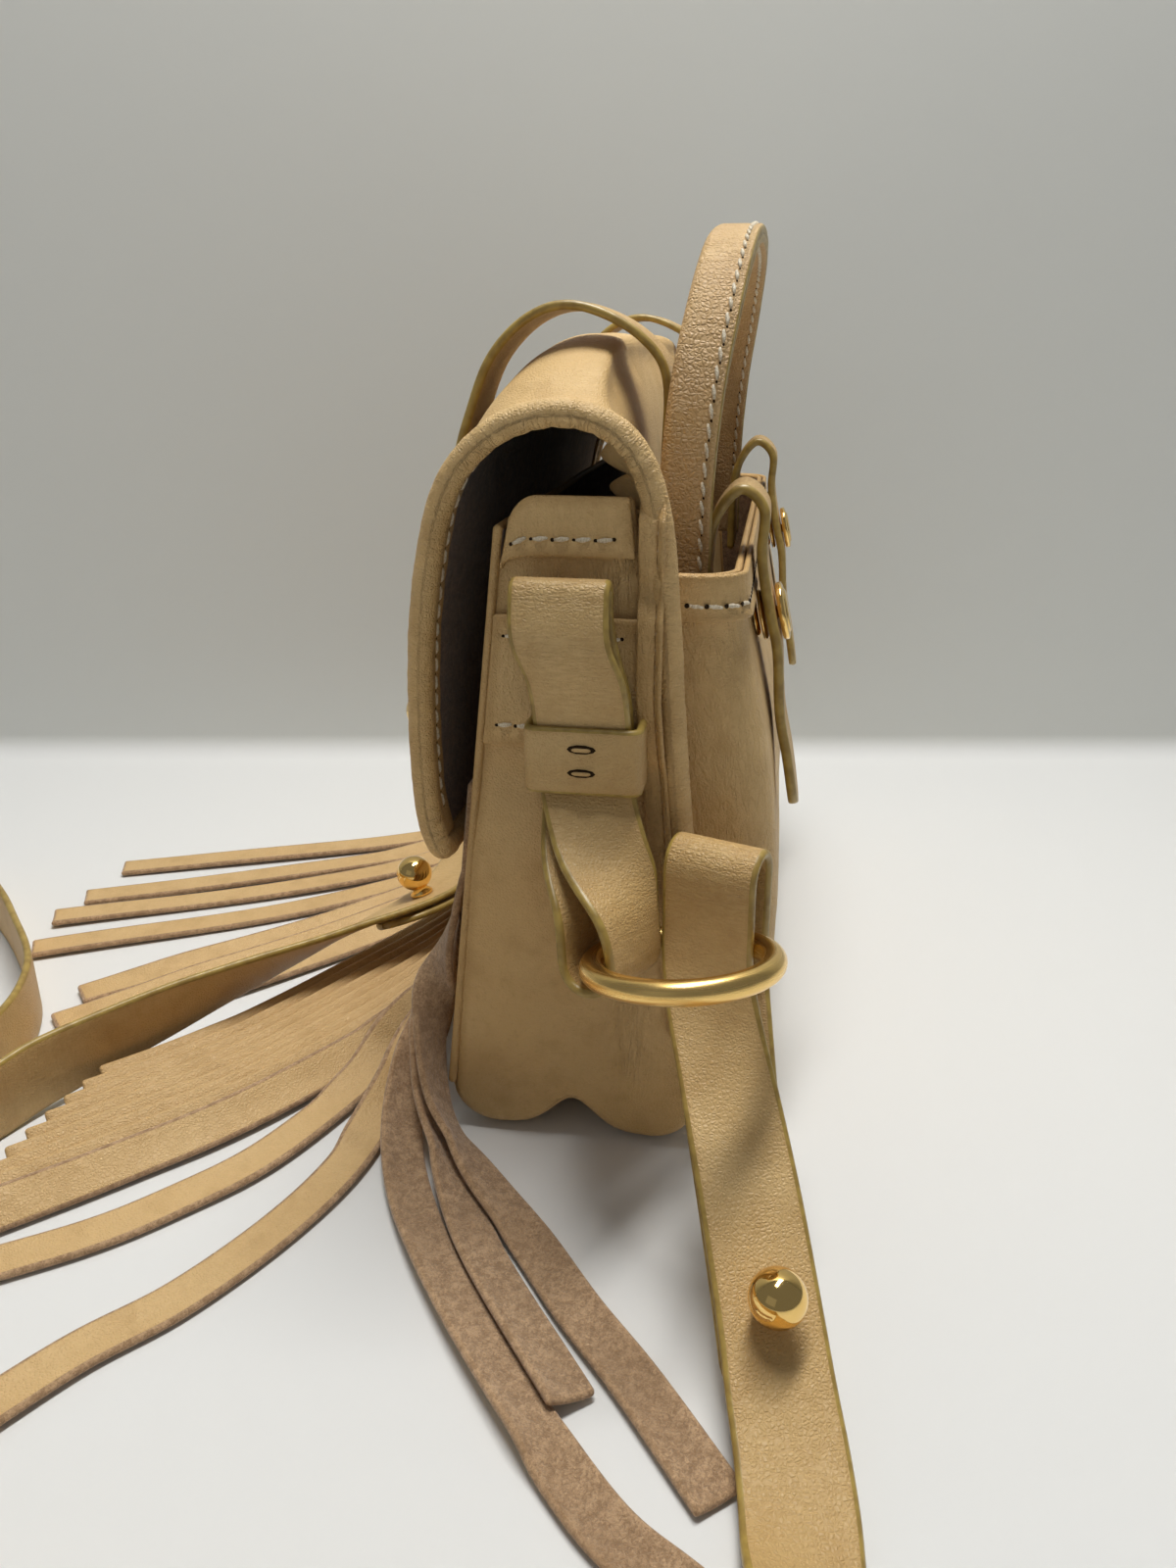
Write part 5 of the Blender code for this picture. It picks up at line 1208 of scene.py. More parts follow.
def make_keeper(side, label, shift):
    """A closed leather loop round the layers of the tab, with two slits in front, drawn as dark dots of painted shade,
    each closed by a small tie.
    """
    skin = HALF + SEAM_GAP + LEATHER + SEAM_GAP
    depth = 3 * STRAP_THICKNESS + 2 * TAB_LAYER_GAP
    wide = TAB_WIDTH / 2 + KEEPER_SIDE_ROOM + KEEPER_WALL / 2
    front = skin + depth + KEEPER_CLEARANCE + KEEPER_WALL / 2
    back = skin + 0.0004
    corner = 0.0019
    bend = np.radians(np.linspace(0, 90, 8))
    outline = [(back, -wide)]
    outline += [(front - corner + corner * np.sin(t), -wide + corner - corner * np.cos(t)) for t in bend]
    outline += [(front - corner + corner * np.cos(t), wide - corner + corner * np.sin(t)) for t in bend]
    outline = resample(np.array(outline + [(back, wide)]), 150)
    outline = relaxed(outline, 5)
    share = np.linspace(-1, 1, 26)[None, :]
    z = KEEPER_MID + share * KEEPER_HEIGHT / 2
    x, y = outline[:, :1], outline[:, 1:]
    face = np.exp(-(y / (wide * 0.9)) ** 4) * smoothstep((x - front + 0.003) / 0.002)
    x = x + face * (0.00035 * (1 - share ** 2) + 0.00008 * ripple(y, z, 71, 0.008))
    grid = np.stack(np.broadcast_arrays(side * x, y + shift, z), axis=-1)
    crease_and_shade = np.full(grid.shape[:2], 0.15)
    keeper = shell("tab_keeper_" + label, grid, KEEPER_WALL, STRAP_SET, flip=side < 0, marks={"crease_and_shade": crease_and_shade})
    settle(keeper, ["tab_keeper_" + label])
    outside = side * (front + KEEPER_WALL / 2 + 0.00048)
    places = np.array([(outside, shift, KEEPER_MID + up) for up in (0.0030, -0.0022)])
    facing = np.tile([side, 0.0, 0], (2, 1))
    along = np.tile([0, 1.0, 0], (2, 1))
    # The slits: dark dots of painted shade.
    hole_shade_dots("keeper_slit_shades_" + label, places, facing, 0.00115, stretch=3.1, along=along)
    angle = np.linspace(0, 2 * pi, 16, endpoint=False)
    for number, place in enumerate(places):
        s = np.linspace(-1, 1, 20)
        line = place + np.outer(s * 0.0020, (0, 1.0, 0))
        thick = np.sqrt(1 - (s * 0.97) ** 4)[:, None]
        profile = np.stack([np.sin(angle) * thick * 0.0006, np.cos(angle) * thick * 0.00045], axis=-1)
        tie = sweep(f"keeper_tie_{label}_{number}", line, np.array([side, 0.0, 0]), profile, [CALF_STRAP])
        settle(tie)


def make_ring(name, centre, axis):
    """A round wire ring: a torus about its axis, brushed along the wire."""
    first = unit(np.cross(axis, [0.12, 0.95, 0.3]))
    second = np.cross(axis, first)
    turn = np.linspace(0, 2 * pi, 160, endpoint=False)[:, None]
    round_wire = np.linspace(0, 2 * pi, 36, endpoint=False)[None, :]
    way = np.cos(turn)[..., None] * first + np.sin(turn)[..., None] * second
    reach = RING_RADIUS + RING_WIRE_RADIUS * np.cos(round_wire)
    points = centre + way * reach[..., None] + (RING_WIRE_RADIUS * np.sin(round_wire))[..., None] * axis
    index = np.arange(160 * 36).reshape(160, 36)
    ahead, beside = np.roll(index, -1, axis=0), np.roll(index, -1, axis=1)
    quads = np.stack([index, ahead, np.roll(ahead, -1, axis=1), beside], axis=-1).reshape(-1, 4)
    uv = np.stack(np.broadcast_arrays(round_wire * RING_WIRE_RADIUS, turn * RING_RADIUS), axis=-1).reshape(-1, 2)
    ring = make_object(name + "_wire", points.reshape(-1, 3), quads, [GOLD_SATIN], uv=uv)
    settle(ring, [name], body=name)


def sheet_back(z):
    """Place of the back sheet's middle at a height, at the bag's ends."""
    back = np.array(FLAP_SECTION[:8])
    return np.interp(z, back[:, 1], back[:, 0])


def pocket_grid(section, outward, drop=0.0):
    """The pocket as rows of height: from the back sheet out, round a quarter circle, along the face and back in."""
    y, z = section[:, :1] + outward, section[:, 1:]
    half = POCKET_HALF_LENGTH + outward
    seat = sheet_back(z) - back_inset(half, sheet_back(z), z) + LEATHER / 2 + POCKET_SEAM_GAP
    radius = np.minimum(POCKET_CORNER, (y - seat) * 0.8)
    out = np.linspace(0, 1, 8)[None, :-1]
    turn = np.radians(np.linspace(0, 90, 18))[None, :-1]
    face = np.linspace(1, 0, 60)[None, :]
    x = np.concatenate([half + 0 * out * y, half - radius * (1 - np.cos(turn)), (half - radius) * face], axis=1)
    way = np.concatenate([seat + (y - radius - seat) * out, y - radius * (1 - np.sin(turn)), y + 0 * face], axis=1)
    x, way = np.concatenate([x, -x[:, -2::-1]], axis=1), np.concatenate([way, way[:, -2::-1]], axis=1)
    return np.stack(np.broadcast_arrays(x, way, z - drop), axis=-1)


def make_pocket():
    """The patch pocket on the back with rounded ends, a soft swell in its face, and the stitched hem of its mouth."""
    section = smooth_line([(y, z) for z, y in POCKET_SECTION], 120)
    grid = pocket_grid(section, 0.0)
    x, z = grid[..., 0], grid[..., 2]
    free = smoothstep((POCKET_HALF_LENGTH - 0.012 - np.abs(x)) / 0.02)
    clear = smoothstep((POCKET_TOP - POCKET_HEM - 0.004 - z) / 0.012)
    grid[..., 1] += free * clear * (0.0006 * ripple(x, z, 81, 0.07) + 0.00015 * ripple(x, z, 82, 0.018))
    # More crease lines towards the pocket's rounded ends, darkened as painted shade.
    crease_and_shade = 0.12 + 0.3 * smoothstep((np.abs(x) - 0.078) / 0.01)
    pocket = shell("back_pocket", grid, POCKET_LEATHER, LEATHER_SET, flip=True, marks={"crease_and_shade": crease_and_shade})
    settle(pocket, ["back_pocket"])

    z = np.linspace(POCKET_TOP - POCKET_HEM, POCKET_TOP + 0.0002, 26)
    hem = np.column_stack([np.interp(z, section[:, 1], section[:, 0]), z])
    up = (z - z[0]) / POCKET_HEM
    low_lip = 0.00035 * np.exp(-(up * POCKET_HEM / 0.0013) ** 2)
    groove = 0.00025 * np.exp(-((up - 0.30) * POCKET_HEM / 0.0010) ** 2)
    hem[:, 0] += low_lip - groove
    outward = POCKET_LEATHER / 2 + SEAM_GAP + HEM_LEATHER / 2
    grid = pocket_grid(hem, outward)
    strip = shell("pocket_hem", grid, HEM_LEATHER, LEATHER_SET, flip=True,
                  marks={"crease_and_shade": np.full(grid.shape[:2], 0.25)})
    settle(strip, ["pocket_hem"])
    row = pocket_grid(hem, outward + HEM_LEATHER / 2)[8]
    row = resample(row[3:-3], 700)
    along = unit(np.gradient(row, axis=0))
    stitches("pocket_hem_stitches", row, unit(np.cross(along, [0, 0, -1.0]) * -1) * -1)


def make_handle():
    """The handle: leather folded over itself, so one side is a round fold and the other two painted edges, sewn."""
    near = smooth_line(HANDLE_ROUTE, 210)
    line = np.vstack([near, near[-2::-1] * (-1, 1, 1)])
    h, w = HANDLE_THICKNESS / 2, HANDLE_WIDTH / 2
    bend = np.radians(np.linspace(-90, 90, 13))
    groove = [(h * 0.12, 0.0), (0.0, -0.00045), (-h * 0.12, 0.0)]
    lip = [(h, w - 0.0009), (h - 0.0003, w - 0.0003), (h * 0.70, w), *[(a, w + b) for a, b in groove],
           (-h * 0.70, w), (-h + 0.0003, w - 0.0003), (-h, w - 0.0009)]
    lower = np.column_stack([np.full(9, -h), np.linspace(w - 0.0025, -w + h + 0.001, 9)])
    fold = np.column_stack([h * np.sin(bend), -w + h - h * np.cos(bend)])
    upper = np.column_stack([np.full(9, h), np.linspace(-w + h + 0.001, w - 0.0025, 9)])
    profile = np.vstack([lip, lower, fold, upper])
    dent = 0.00030 * np.exp(-((profile[:, 1] - (w - 0.0022)) / 0.0009) ** 2)
    profile[:, 0] -= np.sign(profile[:, 0]) * dent
    count = len(profile)
    edge_faces = (np.arange(count) < len(lip) - 2) & (np.arange(count) > 0)
    finish = np.tile(np.where(edge_faces, 1, 0), (len(line) - 1, 1)).ravel()
    cap_faces = 2 * (count // 2 - 1)
    finish = np.concatenate([finish, np.ones(cap_faces)])
    outward = unit(np.cross(np.gradient(line, axis=0), [0, 1.0, 0])) * -1
    handle = sweep("top_handle", line, outward, profile, [CALF_HANDLE, EDGE_PAINT], finish, marks={"crease_and_shade": 0.35})
    settle(handle, ["top_handle"])
    side = unit(np.cross(unit(np.gradient(line, axis=0)), outward))
    for sign, name in ((1, "outer"), (-1, "inner")):
        seam = line + side * (w - 0.0022) + outward * sign * (h - 0.00025)
        stitches("handle_stitches_" + name, seam[4:-4], outward[4:-4] * sign, radius=0.00042, slant=0.22)


def snap_place():
    """Outward direction (y, z) of the pocket's face at the snap, and the point on the pocket's middle there."""
    section = smooth_line([(y, z) for z, y in POCKET_SECTION], 200)
    k = int(np.argmin(np.abs(section[:, 1] - SNAP_HEIGHT)))
    along = unit(section[k + 3] - section[k - 3])
    return np.array([along[1], -along[0]]), section[k]


def snap_tab_line(normal, place, count):
    """The tab's middle line: up out of the pocket, over its mouth and down to a tip, level with the snap."""
    rise = POCKET_LEATHER / 2 + SNAP_STUD_HEIGHT + SNAP_SOCKET_HEIGHT + 3 * FIT_GAP + BACK_TAB_THICKNESS / 2
    at_snap = place + normal * rise
    down = np.array([normal[1], -normal[0]])
    reach = SNAP_CAP_RADIUS + 0.0015
    points = [(0.0262, 0.1220), (0.0262, 0.1400), (0.0282, 0.1500), (0.0335, 0.1562), (0.0388, 0.1520),
              tuple(at_snap - down * (reach + 0.0075) + normal * 0.0006), tuple(at_snap - down * reach),
              tuple(at_snap), tuple(at_snap + down * reach), (0.0452, 0.1040), (0.0478, 0.0920), (0.0500, 0.0800)]
    return smooth_line(points, count)


def make_belts_and_tabs():
    """At both ends: the belt over the flap with its stud, and the snap tab over the pocket's mouth."""
    belt = relaxed(smooth_line(BELT_ROUTE, 260), 6)
    normal, place = snap_place()
    tab = snap_tab_line(normal, place, 200)
    for side, label in ((1, "right"), (-1, "left")):
        x = side * BELT_STATION
        line = np.column_stack([np.full(len(belt), x), belt])
        run = running_length(line)
        across = np.tile([1.0, 0, 0], (len(belt), 1))
        grid = ribbon(line, across, tip_width(run, BELT_WIDTH, True, False), 16)
        # Crease lines deepen and darken, as painted shade, over the bend at the top.
        bend = smoothstep((belt[:, 1] - 0.165) / 0.02)[:, None]
        piece = shell("flap_belt_" + label, grid, BELT_THICKNESS, STRAP_SET, flip=True,
                      marks={"crease_and_shade": np.broadcast_to(0.2 + 0.6 * bend, grid.shape[:2])})
        settle(piece, ["flap_belt_" + label])
        height = BELT_ROUTE[0][1] + BELT_STUD_RUN
        foot = np.array([x, np.interp(height, belt[:60, 1], belt[:60, 0]), height])
        front = np.array([0, -1.0, 0])
        make_ball_stud("belt_stud_" + label, foot + front * (BELT_THICKNESS / 2 + FIT_GAP), front)

        line = np.column_stack([np.full(len(tab), x), tab])
        run = running_length(line)
        across = np.tile([1.0, 0, 0], (len(tab), 1))
        grid = ribbon(line, across, tip_width(run, BACK_TAB_WIDTH, False, True), 16)
        # Crease lines deepen and darken, as painted shade, over the bend at the pocket's mouth.
        bend = smoothstep((tab[:, 1] - 0.140) / 0.012)[:, None]
        piece = shell("back_tab_" + label, grid, BACK_TAB_THICKNESS, STRAP_SET, flip=True,
                      marks={"crease_and_shade": np.broadcast_to(0.2 + 0.6 * bend, grid.shape[:2])})
        settle(piece, ["back_tab_" + label])
        make_snap(label, np.array([x, *place]), np.array([0, *normal]))


def make_snap(label, at, out):
    """A snap: the stud on the pocket, the socket behind the tab and the ringed cap in front of it."""
    stack = POCKET_LEATHER / 2 + FIT_GAP
    shank = 2 * FIT_GAP + BACK_TAB_THICKNESS + FIT_GAP
    stud = rounded([(0, SNAP_STUD_HEIGHT), (0.0040, SNAP_STUD_HEIGHT), (0.0048, 0.0006), (0.0052, 0), (0, 0)])
    settle(turned("snap_stud_" + label, stud, at + out * stack, out, [GOLD_POLISH]), ["snap_stud_" + label])
    stack += SNAP_STUD_HEIGHT + FIT_GAP
    socket = rounded([(0.0, SNAP_SOCKET_HEIGHT), (0.0052, SNAP_SOCKET_HEIGHT), (SNAP_SOCKET_RADIUS, 0.0008),
                      (SNAP_SOCKET_RADIUS, 0), (0.0, 0)])
    settle(turned("snap_socket_" + label, socket, at + out * stack, out, [GOLD_POLISH]), ["snap_socket_" + label])
    stack += SNAP_SOCKET_HEIGHT + FIT_GAP
    radius = np.linspace(0, SNAP_CAP_RADIUS, 56)
    share = radius / SNAP_CAP_RADIUS
    height = SNAP_CAP_HEIGHT * (1 - 0.34 * share ** 4) - 0.0002
    for place, depth in ((0.30, 0.00016), (0.52, 0.00016), (0.80, 0.00030)):
        height -= depth * np.exp(-((share - place) / 0.035) ** 2)
    height += 0.00014 * np.exp(-((share - 0.66) / 0.05) ** 2)
    cap = list(zip(radius, height + shank))
    cap += [(SNAP_CAP_RADIUS * 1.01, shank + SNAP_CAP_HEIGHT * 0.45), (SNAP_CAP_RADIUS, shank + 0.0004),
            (SNAP_CAP_RADIUS * 0.96, shank), (SNAP_SHANK_RADIUS, shank), (SNAP_SHANK_RADIUS, FIT_GAP), (0, FIT_GAP)]
    settle(turned("snap_cap_" + label, cap, at + out * (stack - FIT_GAP), out, [GOLD_POLISH]),
           ["snap_cap_" + label])


def make_ball_stud(name, seat, direction):
    """A polished ball on a short neck with a flange that sits on the leather."""
    top = STUD_FLANGE_HEIGHT + STUD_NECK_HEIGHT * 0.4 + 2 * STUD_BALL_RADIUS
    middle = top - STUD_BALL_RADIUS
    neck = np.arccos(STUD_NECK_RADIUS / STUD_BALL_RADIUS)
    arc = np.linspace(pi / 2, -neck, 40)
    ball = [(STUD_BALL_RADIUS * np.cos(t), middle + STUD_BALL_RADIUS * np.sin(t)) for t in arc]
    ball[0] = (0.0, ball[0][1])
    base = [(STUD_FLANGE_RADIUS, STUD_FLANGE_HEIGHT), (STUD_FLANGE_RADIUS, 0), (0, 0)]
    settle(turned(name, ball + base, seat, direction, [GOLD_POLISH], 72), [name])


def dense_route(points, finer=5):
    """Catmull-Rom through stations of place and width direction, with steps of about a millimetre."""
    pts = np.array(points, float)
    ends = np.vstack([2 * pts[0] - pts[1], pts, 2 * pts[-1] - pts[-2]])
    runs = []
    for a, b, c, d in zip(ends[:-3], ends[1:-2], ends[2:-1], ends[3:]):
        steps = finer * int(np.clip(np.linalg.norm(c[:3] - b[:3]) / 0.0055, 2, 5))
        t = np.linspace(0, 1, steps, endpoint=False)[:, None]
        runs.append(0.5 * (2 * b + (c - a) * t + (2 * a - 5 * b + 4 * c - d) * t ** 2
                           + (3 * b - a - 3 * c + d) * t ** 3))
    return np.vstack(runs + [pts[-1:]])


def strap_faces(line):
    """Unit tangents and grain-side normals along a strap's stations."""
    along = unit(np.gradient(line[:, :3], axis=0))
    return along, unit(np.cross(along, unit(line[:, 3:])))


def folded_back(line, start, end):
    """The stretch of a strap's line between two running lengths, moved to lie behind it."""
    run = running_length(line)
    _, normal = strap_faces(line)
    behind = line.copy()
    behind[:, :3] -= normal * (STRAP_THICKNESS + FOLD_GAP)
    return behind[(run > start) & (run < end)]


def half_turn(first, last, bulge_along):
    """Stations of a bend that joins two layers of a strap round a wire."""
    a, b = np.array(first), np.array(last)
    middle, reach = (a[:3] + b[:3]) / 2, (a[:3] - b[:3]) / 2
    out = np.array(bulge_along) * np.linalg.norm(reach)
    return [(*(middle + reach * np.cos(t) + out * np.sin(t)), *a[3:]) for t in np.radians(np.arange(10, 180, 10))]


def make_shoulder_strap():
    """The long strap: each end runs through a ring, folds back on itself and is held by a ball stud."""
    main = dense_route(STRAP_ROUTE)
    run = running_length(main)
    far_run = run[-1] - FAR_STUD_RUN
    near_back = folded_back(main, 0.043, NEAR_STUD_RUN + STRAP_END_PAST_STUD)
    far_back = folded_back(main, far_run - STRAP_END_PAST_STUD, run[-1] - 0.024)
    near = np.vstack([near_back[::-1], dense_route(NEAR_FOLD[::-1]), half_turn(NEAR_FOLD[0], STRAP_ROUTE[0],
                                                                             (0, 0, 1.0))])
    far = np.vstack([half_turn(STRAP_ROUTE[-1], FAR_FOLD[0], (0, 1.05, 0)), dense_route(FAR_FOLD), far_back[::-1]])
    line = np.vstack([near, main, far])
    line[:, 3:] = unit(line[:, 3:])
    line = relaxed(resample(line, 1500), 4)
    gone = running_length(line)
    bend = np.linalg.norm(np.gradient(np.gradient(line[:, :3], axis=0), axis=0), axis=1) / gone[1] ** 2
    bend = np.convolve(bend, np.ones(21) / 21, mode="same")
    width = tip_width(gone, STRAP_WIDTH, True, True)
    grid = ribbon(line[:, :3], line[:, 3:], width, 14)
    # The crease mark grows at the bends: deeper crease lines, darkened as painted shade.
    crease_and_shade = np.broadcast_to(np.clip(0.18 + bend[:, None] / 90, 0, 1), grid.shape[:2])
    strap = shell("shoulder_strap", grid, STRAP_THICKNESS, STRAP_SET, marks={"crease_and_shade": crease_and_shade})
    settle(strap, ["shoulder_strap"])

    _, normal = strap_faces(main)
    for label, at in (("right", NEAR_STUD_RUN), ("left", far_run)):
        k = int(np.argmin(np.abs(run - at)))
        place, out = main[k, :3], normal[k]
        make_ball_stud("strap_stud_" + label, place + out * (STRAP_THICKNESS / 2 + FIT_GAP), out)
        under = STRAP_THICKNESS * 1.5 + FOLD_GAP + FIT_GAP
        shank = 2 * STRAP_THICKNESS + FOLD_GAP + 1.5 * FIT_GAP
        screw = [(0, shank), (SCREW_SHANK_RADIUS, shank), (SCREW_SHANK_RADIUS, 0), (SCREW_HEAD_RADIUS, 0),
                 (SCREW_HEAD_RADIUS * 0.9, -SCREW_HEAD_HEIGHT), (0.0012, -SCREW_HEAD_HEIGHT),
                 (0.0009, -SCREW_HEAD_HEIGHT * 0.5), (0, -SCREW_HEAD_HEIGHT * 0.5)]
        settle(turned("strap_stud_screw_" + label, screw, place - out * under, out, [GOLD_POLISH]),
               ["strap_stud_screw_" + label])
    # Punched holes near the far end, drawn as dark dots of painted shade.
    spare = main[:, :3] + normal * (STRAP_THICKNESS / 2 + 0.00002)
    at = far_run - STRAP_HOLE_START - np.arange(STRAP_HOLES) * STRAP_HOLE_STEP
    places = np.stack([np.interp(at, run, spare[:, k]) for k in range(3)], axis=1)
    facing = unit(np.stack([np.interp(at, run, normal[:, k]) for k in range(3)], axis=1))
    hole_shade_dots("strap_hole_shades", places, facing, 0.0013)


def fringe_face(z):
    """Place of the fringe's root band at a height, just outside the front panel."""
    return -(half_width(z) + SEAM_GAP + FRINGE_THICKNESS / 2)


def strip_plans():
    """Each strip's way in plan, from its root under the flap to its end, at running lengths that grow."""
    share = np.linspace(0, 1, GROUP_COUNT)[:, None]
    stations = [np.array(first) * (1 - share) + np.array(last) * share
                for first, last in (GROUP_MIDDLE, GROUP_LATE, GROUP_END)]
    group = [tuple(map(tuple, way)) for way in np.stack(stations, axis=1)]
    ways = list(FAR_STRIPS) + group + list(NEAR_STRIPS)
    plans = []
    for index, way in enumerate(ways):
        root = np.array([(index - (STRIP_COUNT - 1) / 2) * STRIP_PITCH, fringe_face(FRINGE_SPLIT_HEIGHT)])
        lead = root + ((way[0][0] - root[0]) * 0.10, -STRIP_LEAD)
        plan = smooth_line([root, lead, *way] if way[0][1] < -0.06 else [root, *way], 160)
        run = running_length(np.column_stack([plan, np.zeros(len(plan))]))
        stops = np.linspace(0, 1, STRIP_ROWS) ** 1.35 * run[-1]
        plans.append((stops, np.stack([np.interp(stops, run, plan[:, k]) for k in (0, 1)], axis=1), plan))
    return plans


def strip_line(index, plans):
    """Middle line and width directions of one strip; it leans on the strip before it where they lie close."""
    gone, plan, _ = plans[index]
    near = [plans[k][2] for k in (index - 1, index + 1) if 0 <= k < STRIP_COUNT]
    apart = np.min([np.linalg.norm(plan[:, None] - line[None], axis=2).min(axis=1) for line in near], axis=0)
    bank = np.arcsin(np.clip(STRIP_LAP / apart, 0, 0.75)) * (1 - smoothstep((apart - STRIP_PITCH) / 0.002))
    bank = bank * smoothstep(gone / 0.012)
    low = FRINGE_THICKNESS / 2 + 0.0004 + STRIP_PITCH / 2 * np.sin(bank)
    z = low + (FRINGE_SPLIT_HEIGHT - low) * np.exp(-(gone / FRINGE_DROP) ** 1.2)
    line = relaxed(np.column_stack([plan, z, bank]), 3)
    line, bank = line[:, :3], line[:, 3]
    along = unit(np.gradient(line, axis=0))
    flat = np.column_stack([-along[:, 1], along[:, 0], np.zeros(len(along))])
    start = (1 - smoothstep(gone / 0.012))[:, None]
    flat = unit(unit(flat) * (1 - start) + np.array([1.0, 0, 0]) * start)
    widths = flat * np.cos(bank)[:, None] - np.cross(along, flat) * np.sin(bank)[:, None]
    return line, widths


def make_fringe():
    """The root band under the flap's edge, and the strips cut from it, flesh side up where the last ones turn over."""
    z = np.linspace(FRINGE_ROOT_HEIGHT, FRINGE_SPLIT_HEIGHT - 0.0004, 24)[:, None]
    reach = (STRIP_COUNT * STRIP_PITCH - STRIP_SLIT) / 2
    x = np.linspace(-reach, reach, 120)[None, :]
    grid = np.stack(np.broadcast_arrays(x, fringe_face(z), z), axis=-1)
    band = shell_parts(grid, FRINGE_THICKNESS, marks={"crease_and_shade": np.full(grid.shape[:2], 0.2)})
    plans = strip_plans()
    grain_up, in_group, flesh_up = [band], [], []
    for index in range(STRIP_COUNT):
        line, widths = strip_line(index, plans)
        grid = ribbon(line, widths, STRIP_PITCH - STRIP_SLIT, 9)
        share = np.linspace(-1, 1, 9)[None, :, None]
        gone = plans[index][0][:, None, None]
        cup = 0.00035 * share ** 2 * smoothstep(gone / 0.03) * (1 + 0.6 * np.sin(gone * 60 + index))
        grid = grid + cup * np.array([0, 0, 1.0])
        part = shell_parts(grid, FRINGE_THICKNESS, marks={"crease_and_shade": np.full(grid.shape[:2], 0.12)})
        grouped = len(FAR_STRIPS) <= index < len(FAR_STRIPS) + GROUP_COUNT - 1
        (flesh_up if index >= STRIP_COUNT - TURNED_STRIPS else in_group if grouped else grain_up).append(part)
    settle(make_object("fringe_strips", finishes=FRINGE_SET, **joined(grain_up)), ["fringe"])
    settle(make_object("fringe_grouped_strips", finishes=GROUP_SET, **joined(in_group)), ["fringe"])
    turned_set = [FRINGE_FLESH, FRINGE_TAN, RAW_EDGE]
    settle(make_object("fringe_turned_strips", finishes=turned_set, **joined(flesh_up)), ["fringe"])


STRIP_ROWS = 110
TURNED_STRIPS = 3
STRAP_HOLES = 5
STRAP_HOLE_START = 0.060
STRAP_HOLE_STEP = 0.0125

make_ring_hardware()
make_pocket()
make_handle()
make_belts_and_tabs()
make_shoulder_strap()
make_fringe()


def make_stage():
    """A pale table that turns up into a grey wall behind: a flat run, a quarter circle and an upright."""
    ahead = np.array([-np.cos(CAMERA_YAW), -np.sin(CAMERA_YAW), 0])
    beside = np.array([-np.sin(CAMERA_YAW), np.cos(CAMERA_YAW), 0])
    start = np.array(CAMERA_PLACE) * (1, 1, 0)
    turn = np.radians(np.linspace(0, 90, 24))
    flat = np.linspace(-1.6, WALL_DISTANCE - SWEEP_RADIUS, 40)
    away = np.concatenate([flat, WALL_DISTANCE - SWEEP_RADIUS + SWEEP_RADIUS * np.sin(turn[1:]),
                           np.full(20, WALL_DISTANCE)])
    height = np.concatenate([np.zeros(40), SWEEP_RADIUS * (1 - np.cos(turn[1:])),
                             np.linspace(SWEEP_RADIUS, WALL_HEIGHT, 21)[1:]])
    lateral = np.linspace(-1.6, 1.6, 30)
    points = (start + away[:, None, None] * ahead + lateral[None, :, None] * beside
              + height[:, None, None] * np.array([0, 0, 1.0]))
    backdrop = make_object("table_and_wall", points.reshape(-1, 3), grid_quads(len(away), 30)[:, ::-1],
                           [STAGE_PAPER])
    around = np.linspace(-FLOOR_REACH, FLOOR_REACH, 12)
    floor = np.stack(np.meshgrid(around, around) + [np.full((12, 12), -FLOOR_DROP)], axis=-1)
    beyond = make_object("wide_floor", floor.reshape(-1, 3), grid_quads(12, 12)[:, ::-1], [STAGE_PAPER])
    return backdrop


def make_light(name, place, aim, size, power, color):
    """A soft rectangular lamp that faces a point."""
    lamp = bpy.data.lights.new(name, "AREA")
    lamp.shape = "RECTANGLE"
    lamp.size, lamp.size_y = size
    lamp.energy = power
    lamp.color = color
    obj = bpy.data.objects.new(name, lamp)
    back = unit(np.array(place) - np.array(aim))
    side = unit(np.cross([0.01, 0.02, 1.0], back))
    columns = np.column_stack([side, np.cross(back, side), back])
    obj.matrix_world = Matrix([[*columns[k], place[k]] for k in range(3)] + [[0, 0, 0, 1]])
    bpy.context.scene.collection.objects.link(obj)
    return obj


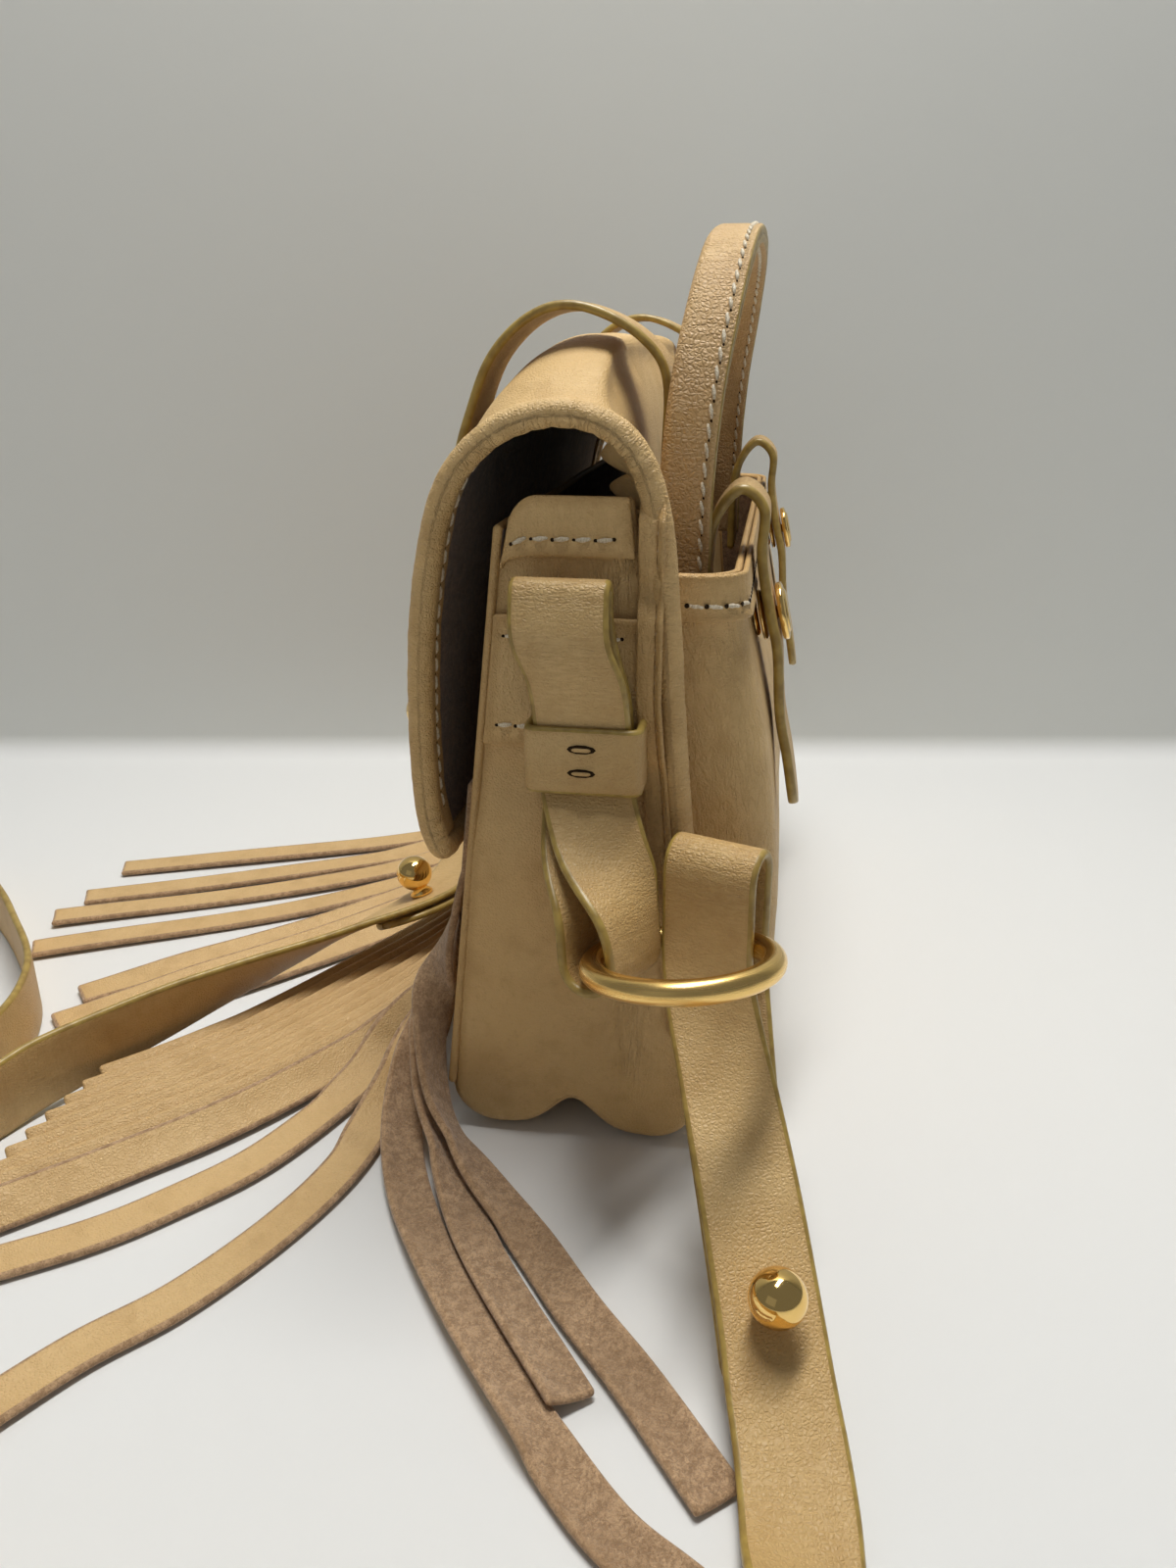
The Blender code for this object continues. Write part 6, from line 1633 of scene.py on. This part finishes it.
def make_world(color, strength):
    """Even light from all round."""
    world = bpy.data.worlds.new("soft_room")
    world.use_nodes = True
    background = world.node_tree.nodes["Background"]
    background.inputs["Color"].default_value = (*color, 1)
    background.inputs["Strength"].default_value = strength
    bpy.context.scene.world = world


def make_camera():
    """The photograph's view: level left to right, pitched down, turned a little off the bag's length."""
    ahead = np.array([-np.cos(CAMERA_YAW), -np.sin(CAMERA_YAW), 0])
    right = np.array([-np.sin(CAMERA_YAW), np.cos(CAMERA_YAW), 0])
    up = np.sin(CAMERA_PITCH) * ahead + np.array([0, 0, np.cos(CAMERA_PITCH)])
    forward = np.cos(CAMERA_PITCH) * ahead - np.array([0, 0, np.sin(CAMERA_PITCH)])
    lens = bpy.data.cameras.new("photo_camera")
    lens.sensor_fit = "VERTICAL"
    lens.sensor_height = SENSOR
    lens.lens = SENSOR * FOCAL_PIXELS / PHOTO_HEIGHT
    lens.clip_start = 0.01
    obj = bpy.data.objects.new("photo_camera", lens)
    columns = np.column_stack([right, up, -forward])
    obj.matrix_world = Matrix([[*columns[k], CAMERA_PLACE[k]] for k in range(3)] + [[0, 0, 0, 1]])
    bpy.context.scene.collection.objects.link(obj)
    bpy.context.scene.camera = obj


WALL_DISTANCE = 0.520
WALL_HEIGHT = 1.1
SWEEP_RADIUS = 0.010
FLOOR_REACH = 3.0
FLOOR_DROP = 0.0004
STAGE_PAPER = stage_finish("pale_paper", (0.70, 0.71, 0.68), (0.70, 0.71, 0.68),
                           (-np.cos(CAMERA_YAW), -np.sin(CAMERA_YAW)), (-0.1, 0.2), 0.001, SWEEP_RADIUS,
                           (0.765, 0.770, 0.765))

make_stage()
make_light("overhead_softbox", (-0.10, 0.10, 0.95), (0.03, 0, 0.05), (0.15, 0.8), 12.0, (1.0, 0.985, 0.95))
make_light("front_fill", (1.1, -0.5, 0.55), (0.05, 0, 0.08), (0.8, 0.6), 0.15, (0.97, 0.98, 1.0))
make_world((0.95, 0.97, 1.0), 0.17)
make_camera()
bpy.context.scene.view_settings.view_transform = "Standard"
